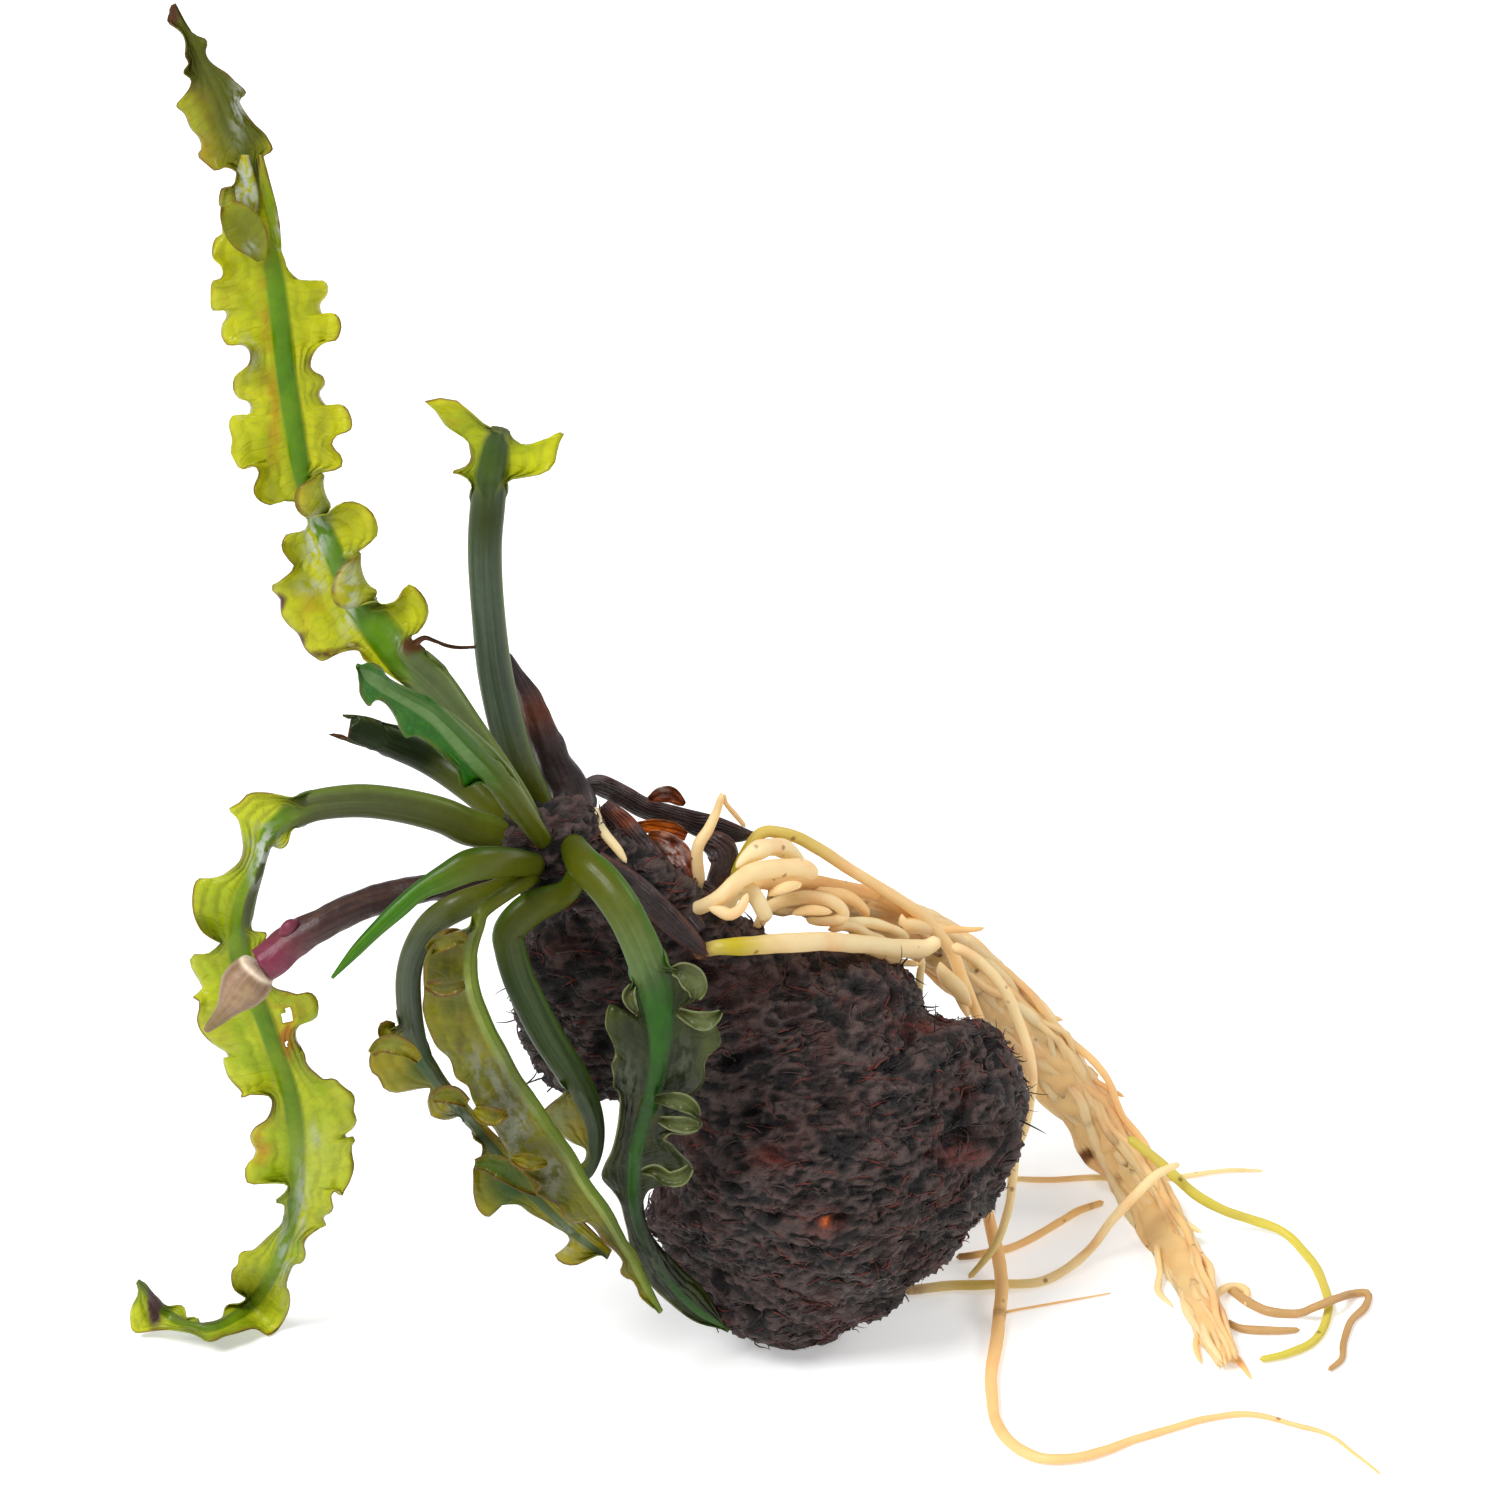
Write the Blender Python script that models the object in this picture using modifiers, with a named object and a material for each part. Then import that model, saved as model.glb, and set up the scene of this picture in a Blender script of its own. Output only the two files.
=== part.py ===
# Aponogeton: a bare-rooted water plant that stands on its tuber.
# Metres, +Z up. The origin is the middle of the small flat spot that the tuber rests on.
# The plant is seen from the front, along +Y, and slightly from above. Places are given on the
# sight plane, in millimetres right of and above the resting spot, with the depth behind it.
import math

import bmesh
import bpy
from mathutils import Vector

MM = 0.001

# Viewpoint that the places are given from
LOOK_DOWN = math.radians(28)
EYE_DISTANCE = 600
AIM_RIGHT = -6
AIM_UP = 72

# Tuber
TUBER_WIDTH = 43
TUBER_DEPTH = 38
TUBER_HEIGHT = 44
TUBER_RIGHT = 2.5
TUBER_UP = 26.5
TUBER_GRAIN = 3.3
LUMP_SIZE = 11
LUMP_HEIGHT = 3.4
WRINKLE_SIZE = 4
WRINKLE_HEIGHT = 1.8
# Lumps on it: right, up and depth of the middle on the sight plane, then width, depth and height
TUBER_LUMPS = [
    (18, 26.5, 3, 22, 25, 24),  # right shoulder
    (-1.5, 9, 0, 29, 25, 24),  # foot
    (-7, 38, 2, 26, 26, 24),  # upper left
    (-25, 45, 3, 22, 18, 24),  # fibrous lobe behind the hanging leaves
    (-27, 37, 4, 17, 15, 18),  # lower end of that lobe
    (-32, 59.5, -7, 13, 13, 13),  # crown that the leaves grow from
]
NECK_LUMPS = 6
NECK_START = Vector((-11, 50, 2))
NECK_END = Vector((-29, 61, -4))
NECK_GIRTHS = (13.5, 11)
FLOOR_SIZE = 120
SHARP_ANGLE = math.radians(50)

# Leaves
STALK_STEP = 6.5
BLADE_STEP = 2.3
STALK_FLATNESS = 0.78
BLADE_HALF_THICK = 0.38
RIB_HALF_THICK = 0.9
BLADE_STARTS = 2.3
BLADE_FULL = 3.4
LEAST_REACH = 0.35
SHOULDER = 0.72
STALK_RING = [math.radians(angle) for angle in (15, 54, 90, 126, 165, 195, 234, 270, 306, 345)]
RUFFLE_LENGTH = 7.2
RUFFLE_LIFT = 0.26
RUFFLE_REACH = 0.13
RUFFLE_LAG = 2.1

# Flower, old leaf remains and roots
OLD_STEP = 4.0
ROOT_STEP = 5.0

# Points worked out between two given ones, and the space that the tuber leaves round what grows from it
FINENESS = 12
WELD = 0.01
CLEARANCE = 0.48


def empty_scene():
    for thing in list(bpy.data.objects):
        bpy.data.objects.remove(thing, do_unlink=True)


def collection(name):
    group = bpy.data.collections.new(name)
    bpy.context.scene.collection.children.link(group)
    return group


empty_scene()
PLANT = collection("aponogeton")
CUTTERS = collection("cutters")

TO_EYE = Vector((0, -math.cos(LOOK_DOWN), math.sin(LOOK_DOWN)))
SIGHT_UP = Vector((0, math.sin(LOOK_DOWN), math.cos(LOOK_DOWN)))
SIGHT_RIGHT = Vector((1, 0, 0))
EYE = SIGHT_RIGHT * AIM_RIGHT + SIGHT_UP * AIM_UP + TO_EYE * EYE_DISTANCE


def sight_line(right, up):
    return SIGHT_RIGHT * right + SIGHT_UP * up - EYE


def seen(right, up, back):
    # The point at the depth `back` that shows at this place on the sight plane
    line = sight_line(right, up)
    return EYE + line * ((back - EYE.y) / line.y)


def lying(right, up, height):
    # The point at this height over the surface that shows at this place on the sight plane
    line = sight_line(right, up)
    return EYE + line * ((height - EYE.z) / line.z)


def material(name, colour, roughness):
    finish = bpy.data.materials.new(name)
    finish.use_nodes = True
    shader = finish.node_tree.nodes["Principled BSDF"]
    shader.inputs["Base Color"].default_value = (*colour, 1)
    shader.inputs["Roughness"].default_value = roughness
    shader.inputs["Metallic"].default_value = 0
    return finish


DARK_FLESH = material("tuber_skin", (0.035, 0.022, 0.018), 0.55)
LEAF_YELLOW = material("leaf_yellow_green", (0.42, 0.45, 0.03), 0.35)
LEAF_GREEN = material("leaf_green", (0.07, 0.2, 0.02), 0.35)
LEAF_OLIVE = material("leaf_olive", (0.12, 0.15, 0.03), 0.35)
DEAD_LEAF = material("dead_leaf", (0.04, 0.02, 0.02), 0.5)
RED_SCALE = material("old_scale", (0.2, 0.04, 0.02), 0.4)
STALK_PURPLE = material("flower_stalk", (0.08, 0.025, 0.04), 0.4)
BUD_TAN = material("flower_bud", (0.35, 0.26, 0.2), 0.5)
ROOT_CREAM = material("root", (0.85, 0.66, 0.38), 0.45)


def smooth_rows(rows, step):
    # Rows on a smooth curve through the given rows, about `step` apart; each row begins with a point
    def between(a, b, c, d, t):
        return [
            0.5 * (2 * q + (r - p) * t + (2 * p - 5 * q + 4 * r - s) * t * t
                   + (3 * q - 3 * r + s - p) * t ** 3)
            for p, q, r, s in zip(a, b, c, d)
        ]

    padded = [list(row) for row in (rows[0], *rows, rows[-1])]
    dense = []
    for i in range(len(rows) - 1):
        dense += [between(*padded[i:i + 4], t / FINENESS) for t in range(FINENESS)]
    dense.append(padded[-1])
    result = [dense[0]]
    walked = 0
    for before, after in zip(dense, dense[1:]):
        walked += (Vector(after[:3]) - Vector(before[:3])).length
        if walked >= (step(after) if callable(step) else step):
            result.append(after)
            walked = 0
    if walked and len(result) > 2:
        result.pop()
    result.append(dense[-1])
    return result


def add(name, mesh, finish, group=PLANT):
    piece = bpy.data.objects.new(name, mesh)
    mesh.materials.clear()
    mesh.materials.append(finish)
    group.objects.link(piece)
    return piece


def evaluated_mesh(source):
    view = bpy.context.evaluated_depsgraph_get()
    view.update()
    return bpy.data.meshes.new_from_object(source.evaluated_get(view), depsgraph=view)


def baked(source, name, finish, group=PLANT):
    # The finished mesh of a curve or of a piece with modifiers, as an object of its own
    mesh = evaluated_mesh(source)
    mesh.name = name
    shape = bmesh.new()
    shape.from_mesh(mesh)
    bmesh.ops.remove_doubles(shape, verts=shape.verts, dist=WELD * MM)
    shape.to_mesh(mesh)
    shape.free()
    place = source.matrix_world.copy()
    bpy.data.objects.remove(source, do_unlink=True)
    piece = add(name, mesh, finish, group)
    piece.matrix_world = place
    return piece


def cut_away(piece, cutter):
    cut = piece.modifiers.new("clearance", "BOOLEAN")
    cut.operation = "DIFFERENCE"
    cut.solver = "EXACT"
    cut.object = cutter


def tube(name, points, girths, finish, sides=1):
    # A round-ended run through the points; girths are radii at even shares of its length
    curve = bpy.data.curves.new(name, "CURVE")
    curve.dimensions = "3D"
    curve.bevel_depth = MM
    curve.bevel_resolution = sides
    curve.use_fill_caps = True
    run = curve.splines.new("POLY")
    run.points.add(len(points) - 1)
    last = len(points) - 1
    for i, point in enumerate(points):
        share = i / last * (len(girths) - 1)
        low = min(int(share), len(girths) - 2)
        girth = girths[low] + (girths[low + 1] - girths[low]) * (share - low)
        height = max(point[2], girth)
        run.points[i].co = (point[0] * MM, point[1] * MM, height * MM, 1)
        run.points[i].radius = girth
    holder = bpy.data.objects.new(name, curve)
    PLANT.objects.link(holder)
    return baked(holder, name, finish)


def ball(shape, centre, size):
    made = bmesh.ops.create_icosphere(shape, subdivisions=3, radius=0.5 * MM)
    for vert in made["verts"]:
        vert.co = Vector([vert.co[i] * size[i] + centre[i] * MM for i in range(3)])


def tuber():
    # Main body with its lumps, and the neck that ends in the crown
    shape = bmesh.new()
    ball(shape, (TUBER_RIGHT, 0, TUBER_UP), (TUBER_WIDTH, TUBER_DEPTH, TUBER_HEIGHT))
    for right, up, back, *size in TUBER_LUMPS:
        ball(shape, seen(right, up, back), size)
    for step in range(NECK_LUMPS):
        share = step / (NECK_LUMPS - 1)
        girth = NECK_GIRTHS[0] + (NECK_GIRTHS[1] - NECK_GIRTHS[0]) * share
        ball(shape, seen(*NECK_START.lerp(NECK_END, share)), (girth, girth, girth))
    mesh = bpy.data.meshes.new("tuber_lumps")
    shape.to_mesh(mesh)
    shape.free()
    lumps = bpy.data.objects.new("tuber_lumps", mesh)
    PLANT.objects.link(lumps)
    skin = lumps.modifiers.new("skin", "REMESH")
    skin.mode = "VOXEL"
    skin.voxel_size = TUBER_GRAIN * MM
    for kind, size, height in (
        ("lumps", LUMP_SIZE, LUMP_HEIGHT),
        ("wrinkles", WRINKLE_SIZE, WRINKLE_HEIGHT),
    ):
        pattern = bpy.data.textures.new(kind, "CLOUDS")
        pattern.noise_scale = size * MM
        pattern.noise_depth = 1
        swell = lumps.modifiers.new(kind, "DISPLACE")
        swell.texture = pattern
        swell.texture_coords = "LOCAL"
        swell.strength = height * MM
        swell.mid_level = 0.5
    rough = baked(lumps, "tuber_rough", DARK_FLESH, CUTTERS)
    cut_away(rough, floor_cutter())
    body = baked(rough, "tuber", DARK_FLESH)
    bpy.context.view_layer.update()
    body.data.shade_smooth()
    body.data.set_sharp_from_angle(angle=SHARP_ANGLE)

    room = bpy.data.objects.new("tuber_clearance", body.data.copy())
    CUTTERS.objects.link(room)
    grow = room.modifiers.new("gap", "DISPLACE")
    grow.strength = CLEARANCE * MM
    grow.mid_level = 0
    return body, room


def floor_cutter():
    # Everything below the surface that the tuber rests on
    floor = bpy.data.meshes.new("floor_cut")
    shape = bmesh.new()
    bmesh.ops.create_cube(shape, size=FLOOR_SIZE * MM)
    bmesh.ops.translate(shape, verts=shape.verts, vec=(0, 0, -FLOOR_SIZE / 2 * MM))
    shape.to_mesh(floor)
    shape.free()
    return add("floor_cut", floor, DARK_FLESH, CUTTERS)


def cross_section(row, walked, phase):
    # The ring round a leaf at one row, as steps to the side and towards the viewer
    left = max(row[3], LEAST_REACH)
    right = max(row[4], LEAST_REACH)
    wide = min(max((max(left, right) - BLADE_STARTS) / (BLADE_FULL - BLADE_STARTS), 0), 1)
    half_stalk = min(left, right, BLADE_STARTS)
    stalk = half_stalk * STALK_FLATNESS
    rib = (1 - wide) * stalk + wide * RIB_HALF_THICK
    if wide == 0:
        return [(math.cos(angle) * -half_stalk, math.sin(angle) * rib) for angle in STALK_RING]
    inner = min((1 - wide) * stalk * SHOULDER + wide * BLADE_HALF_THICK, rib)
    edge = wide * BLADE_HALF_THICK * 0.8 + 0.02
    bend = 0.3
    margins = []
    for side, reach, lag in ((-1, left, 0), (1, right, RUFFLE_LAG)):
        wave = wide * math.sin(2 * math.pi * walked / RUFFLE_LENGTH + phase + lag)
        margins.append((side * reach * (1 + RUFFLE_REACH * wave), reach * RUFFLE_LIFT * wave))
    (far_left, up_left), (far_right, up_right) = margins
    shoulder = SHOULDER - 0.12 * wide
    return [
        (far_left, up_left + edge),
        (far_left * shoulder, up_left * bend + inner),
        (0, rib),
        (far_right * shoulder, up_right * bend + inner),
        (far_right, up_right + edge),
        (far_right, up_right - edge),
        (far_right * shoulder, up_right * bend - inner),
        (0, -rib),
        (far_left * shoulder, up_left * bend - inner),
        (far_left, up_left - edge),
    ]


def leaf(name, stations, finish, phase=0.0):
    # A loft from a round stalk to a thin blade with a ruffled margin.
    # A station is a place, the blade's reach left and right of its rib as it grows, and its turn.
    rows = [[*place, left, right, turn] for place, left, right, turn in stations]

    def step(row):
        return BLADE_STEP if max(row[3], row[4]) > BLADE_STARTS else STALK_STEP

    rows = smooth_rows(rows, step)
    shape = bmesh.new()
    rings = []
    walked = 0
    for i, row in enumerate(rows):
        here = Vector(row[:3])
        ahead = Vector(rows[min(i + 1, len(rows) - 1)][:3])
        behind = Vector(rows[max(i - 1, 0)][:3])
        walked += (here - behind).length
        grows = (ahead - behind).normalized()
        side = grows.cross(TO_EYE).normalized()
        face = side.cross(grows)
        turn = math.radians(row[5])
        across = side * math.cos(turn) + face * math.sin(turn)
        front = face * math.cos(turn) - side * math.sin(turn)
        ring = [here + across * x + front * z for x, z in cross_section(row, walked, phase)]
        rings.append([shape.verts.new((p.x * MM, p.y * MM, max(p.z, 0) * MM)) for p in ring])
    for first, second in zip(rings, rings[1:]):
        for k in range(len(first)):
            n = (k + 1) % len(first)
            shape.faces.new((first[k], first[n], second[n], second[k]))
    shape.faces.new(list(reversed(rings[0])))
    shape.faces.new(rings[-1])
    bmesh.ops.recalc_face_normals(shape, faces=shape.faces)
    bmesh.ops.triangulate(shape, faces=shape.faces)
    mesh = bpy.data.meshes.new(name)
    shape.to_mesh(mesh)
    shape.free()
    mesh.shade_smooth()
    return add(name, mesh, finish)


def root(name, points, girths, finish=ROOT_CREAM):
    rows = smooth_rows(points, ROOT_STEP)
    return tube(name, rows, girths, finish)


TUBER, TUBER_ROOM = tuber()


def grown_leaves():
    # Each station: place, left reach, right reach, turn of the blade away from the viewer
    tall = leaf("tall_leaf", [
        (seen(-33, 61, -8), 1.6, 1.6, 0), (seen(-35.7, 66, -8), 1.8, 1.8, 0),
        (seen(-42, 75, -5), 2.0, 2.0, 0), (seen(-49, 83, -1), 2.2, 2.4, 0),
        (seen(-52, 87, 1), 6, 5.5, -10), (seen(-55.5, 91, 2), 9.5, 3.5, -10),
        (seen(-60, 99, 4), 4.5, 6.5, 20), (seen(-62, 106, 5), 4.5, 3.5, 20),
        (seen(-63, 113, 5.5), 6.5, 5.5, 10), (seen(-64, 121, 6), 7, 6, 5),
        (seen(-65.5, 131, 7), 7.5, 6, 0), (seen(-66.5, 137, 7.5), 6, 2.2, 0),
        (seen(-67, 142, 8), 4.5, 1.0, -20), (seen(-69.2, 147, 9), 5, 2.6, -10),
        (seen(-74, 156, 10), 3.2, 3.0, 0), (seen(-76.8, 162, 11), 1.2, 1.4, 0),
        (seen(-78.5, 165, 11), 0.4, 0.4, 0),
    ], LEAF_YELLOW)
    cut = leaf("cut_leaf", [
        (seen(-31, 60, -1), 1.7, 1.7, 0), (seen(-32.8, 65, 1), 2.0, 2.0, 0),
        (seen(-35.8, 72, 1.5), 2.2, 2.2, 0), (seen(-38, 81, 2), 2.2, 2.2, 0),
        (seen(-39, 89.5, 1), 2.1, 2.1, 0), (seen(-39.5, 99, 2), 2.2, 2.2, 0),
        (seen(-38.5, 105, 2), 2.3, 2.6, 0), (seen(-38, 109, 2), 4.5, 7.2, 0),
        (seen(-37.5, 112.5, 2), 8.5, 7.2, 0),
    ], LEAF_GREEN, 1.0)
    young = leaf("young_leaf", [
        (seen(-32, 60.5, -11), 1.2, 1.2, 0), (seen(-34.5, 64, -14), 1.4, 1.4, 0),
        (seen(-38, 69.5, -17), 1.9, 1.9, 30), (seen(-41.5, 73, -21), 2.8, 2.6, 40),
        (seen(-45, 76.5, -25), 3.0, 3.0, 40), (seen(-49.5, 79, -29), 3.2, 3.0, 40),
        (seen(-53, 81, -33), 3.0, 2.6, 40), (seen(-55.5, 83, -35), 0.5, 0.5, 40),
    ], LEAF_GREEN, 2.0)
    broken = leaf("broken_leaf", [
        (seen(-34, 60.5, -3), 1.3, 1.3, 0), (seen(-40, 66, 0), 1.7, 1.7, 0),
        (seen(-45, 70, 3), 1.9, 1.9, 0), (seen(-50, 72.5, 2), 2.0, 2.0, 0),
        (seen(-55, 74.5, 1), 1.9, 1.9, 0), (seen(-58.5, 75, 0), 1.7, 1.7, 0),
    ], LEAF_GREEN)
    left = leaf("left_leaf", [
        (seen(-34, 60, -8), 1.5, 1.5, 0), (seen(-41, 62.5, -9), 1.7, 1.7, 0),
        (seen(-46, 64.5, -10), 1.8, 1.8, 0), (seen(-51, 65.5, -11), 1.9, 1.9, 0),
        (seen(-56, 66, -12), 1.9, 1.9, 0), (seen(-60.5, 65, -13), 2.0, 2.2, 0),
        (seen(-64.5, 62.5, -14), 1.6, 5.5, 0), (seen(-67, 59, -15), 1.6, 3.6, 0),
        (seen(-69, 55, -15), 1.3, 7, 0), (seen(-69.5, 51, -14), 1.3, 5.6, 0),
        (seen(-69, 46, -13), 2, 7, 0), (seen(-67.5, 40.5, -12), 5, 6.5, 0),
        (seen(-66, 35.5, -11), 6.5, 6.5, 0), (seen(-64, 31, -10), 7.5, 6, 0),
        (seen(-63, 26, -9), 7.5, 5, 0), (seen(-63, 21.5, -8), 7, 5.5, 0),
        (seen(-63.5, 17, -7), 6, 3, 0), (seen(-64, 12.5, -6), 4, 3, 0),
        (seen(-65.5, 9, -5), 3, 4.5, 0), (seen(-67, 5.5, -4), 3.5, 3.5, 20),
        (lying(-69.5, 2.2, 3.0), 3.2, 2.6, 50), (lying(-72, 0.3, 2.2), 2.8, 2.2, 80),
        (lying(-75, -0.6, 1.8), 2.4, 2.4, 90), (lying(-78.5, 0.3, 2.4), 2.4, 2.4, 80),
        (seen(-81, 2.8, -2), 2.2, 2.2, 50), (seen(-82.5, 5.5, -3), 0.5, 0.5, 30),
    ], LEAF_YELLOW, 0.5)
    pointed = leaf("pointed_leaf", [
        (seen(-33.2, 58.8, -12.5), 1.0, 1.0, 0), (seen(-35.5, 59.2, -20), 1.4, 1.4, 0),
        (seen(-39, 58.3, -23), 1.7, 1.7, 0), (seen(-42.5, 57, -25), 2.0, 2.0, 0),
        (seen(-46, 55, -25.5), 2.0, 2.0, 0), (seen(-49, 53, -26.5), 1.8, 1.8, 0),
        (seen(-53, 49, -28), 1.3, 1.3, 0), (seen(-58.5, 43.5, -30), 0.4, 0.4, 0),
    ], LEAF_GREEN)
    first = leaf("hanging_leaf_1", [
        (seen(-34, 56.5, -11), 1.2, 1.2, 0), (seen(-38, 54.3, -16), 1.5, 1.5, 0),
        (seen(-43, 53.2, -18), 1.8, 1.8, 0), (seen(-46, 51, -17.5), 1.8, 1.8, 0),
        (seen(-48, 48, -18), 1.8, 1.8, 0), (seen(-49, 44, -18), 1.8, 1.8, 0),
        (seen(-49, 40, -18), 1.8, 1.9, 0), (seen(-48.5, 37, -17.5), 1.6, 4.6, 0),
        (seen(-47, 33.5, -16), 1.5, 5.2, 0), (seen(-45.5, 30, -14.5), 3.5, 2.6, 0),
        (seen(-42.5, 26, -13), 3.5, 3.2, 0), (seen(-39.5, 22.3, -12), 3.0, 3.4, 0),
        (seen(-36.5, 19, -11), 3.0, 3.4, 0), (seen(-33, 15.3, -10.5), 2.8, 3.2, 0),
        (seen(-29, 11.5, -10), 2.6, 3.2, 0), (seen(-25, 8.8, -9.5), 0.6, 0.6, 0),
    ], LEAF_OLIVE, 0.8)
    second = leaf("hanging_leaf_2", [
        (seen(-33.2, 56, -13.5), 0.9, 0.9, 0), (seen(-35.2, 54.7, -20), 1.4, 1.4, 0),
        (seen(-38, 53, -23), 1.7, 1.9, 0), (seen(-40.5, 50, -24.2), 1.6, 3.6, 0),
        (seen(-41.5, 46, -24.5), 1.6, 5.6, 0), (seen(-41, 42, -24.5), 1.8, 5.8, 0),
        (seen(-40, 38.5, -24), 2.0, 5.4, 0), (seen(-38, 34.5, -23.5), 2.2, 5.2, 10),
        (seen(-35.5, 30.5, -23), 2.0, 5.4, 20), (seen(-32, 25.5, -22), 1.8, 6, 20),
        (seen(-29, 21, -22), 1.8, 5.6, 20), (seen(-25.5, 16, -21.8), 1.6, 5, 20),
        (seen(-22, 11, -21), 1.5, 4.4, 20), (seen(-19, 6, -20), 1.2, 2.8, 10),
        (seen(-17, 2, -18.5), 0.5, 0.5, 0),
    ], LEAF_OLIVE, 1.6)
    third = leaf("hanging_leaf_3", [
        (seen(-27.6, 57.2, -11.5), 1.3, 1.3, 0), (seen(-29.2, 54.3, -14.4), 1.5, 1.5, 0),
        (seen(-33.5, 52.3, -16.5), 2.0, 2.0, 0), (seen(-35.2, 49, -17.5), 2.2, 2.2, 0),
        (seen(-35, 45.5, -17.8), 2.3, 2.3, 0), (seen(-34, 41.5, -17.8), 2.3, 2.3, 0),
        (seen(-32, 38, -17.3), 2.3, 2.3, 0), (seen(-30, 34, -16.5), 2.3, 2.3, 0),
        (seen(-28, 30.5, -15.5), 2.3, 2.3, 0), (seen(-26.4, 27.5, -14), 2.2, 2.2, 0),
        (seen(-25.8, 24.5, -12.5), 2.2, 3.6, 0), (seen(-26, 21, -11.5), 2.0, 3.8, 0),
        (seen(-26.5, 18, -10.5), 0.5, 0.6, 0),
    ], LEAF_GREEN, 0.2)
    fourth = leaf("hanging_leaf_4", [
        (seen(-28.5, 60.3, -10), 1.6, 1.6, 0), (seen(-26, 59.3, -15.5), 1.8, 1.8, 0),
        (seen(-23, 55, -18.5), 2.2, 2.2, 0), (seen(-20.5, 50.5, -20.5), 2.3, 2.3, 0),
        (seen(-18.5, 46.5, -21.5), 2.3, 2.3, 0), (seen(-17, 42, -22), 2.5, 2.5, 0),
        (seen(-16.8, 38.5, -22.5), 5.5, 6.0, 0), (seen(-17, 35, -23), 5.6, 6.4, 0),
        (seen(-17.5, 31.5, -22.5), 5.0, 6.2, 0), (seen(-18.5, 27.5, -21.5), 4.8, 4.2, 0),
        (seen(-19.5, 24, -20), 5.2, 3.0, 0), (seen(-20, 20, -18), 6.0, 2.6, 0),
        (seen(-20.3, 16.5, -16.5), 4.4, 2.2, 0), (seen(-20, 12.5, -15), 4.4, 1.8, 0),
        (seen(-18.5, 9, -14.5), 4.8, 1.8, 0), (seen(-16, 5, -13.5), 4.6, 2.0, 0),
        (seen(-12.5, 1.5, -11), 3.2, 2.0, 0), (seen(-9, -0.5, -8.5), 0.8, 0.8, 0),
    ], LEAF_OLIVE, 2.6)
    return [tall, cut, young, broken, left, pointed, first, second, third, fourth]


def flower():
    stalk = smooth_rows([
        seen(-33.5, 58.5, -8), seen(-39, 56.5, -10), seen(-43.5, 55.7, -12.5),
        seen(-48.5, 55, -15.5), seen(-53, 53.5, -18.5), seen(-58, 51.5, -21),
        seen(-62, 49.5, -22.5), seen(-64.5, 47, -23.3), seen(-67, 45, -24),
    ], STALK_STEP)
    stem = tube("flower_stalk", stalk, (1.3, 1.5, 1.6, 1.7, 1.9, 2.0), STALK_PURPLE, 2)
    bud = [seen(-67.7, 44.4, -24.3), seen(-68.5, 43.6, -24.6), seen(-70, 42, -25),
           seen(-71.5, 40.4, -25.5), seen(-73, 38.6, -26), seen(-74, 37, -26.5)]
    tube("flower_bud", bud, (1.9, 2.4, 2.8, 2.5, 1.5, 0.35), BUD_TAN, 2)
    return stem


def old_growth():
    petiole = smooth_rows([
        seen(-27, 60, -1), seen(-27.5, 64.5, 3), seen(-28, 67.5, 5),
        seen(-29.7, 71, 6), seen(-32, 75, 7), seen(-34, 79.5, 8),
        seen(-36.5, 84.5, 9),
    ], OLD_STEP)
    dead = tube("old_leaf_stalk", petiole, (2.9, 2.6, 1.8, 1.8, 1.5, 1.1), DEAD_LEAF)
    strap = smooth_rows([
        seen(-23.5, 62.5, 6), seen(-22.5, 66, 7.5), seen(-17.5, 64.2, 8.5),
        seen(-12.5, 62, 9), seen(-6.5, 59.7, 9),
    ], OLD_STEP)
    collar = tube("old_leaf_base", strap, (1.6, 1.7, 1.6, 1.0), DEAD_LEAF)
    scale = smooth_rows([
        seen(-18, 57, 1), seen(-16.5, 60.5, 2), seen(-15.5, 63.5, 3),
        seen(-14.5, 66, 3),
    ], OLD_STEP)
    flake = tube("old_scale", scale, (2.2, 2.0, 1.5, 0.8), RED_SCALE)
    return [dead, collar, flake]


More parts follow.
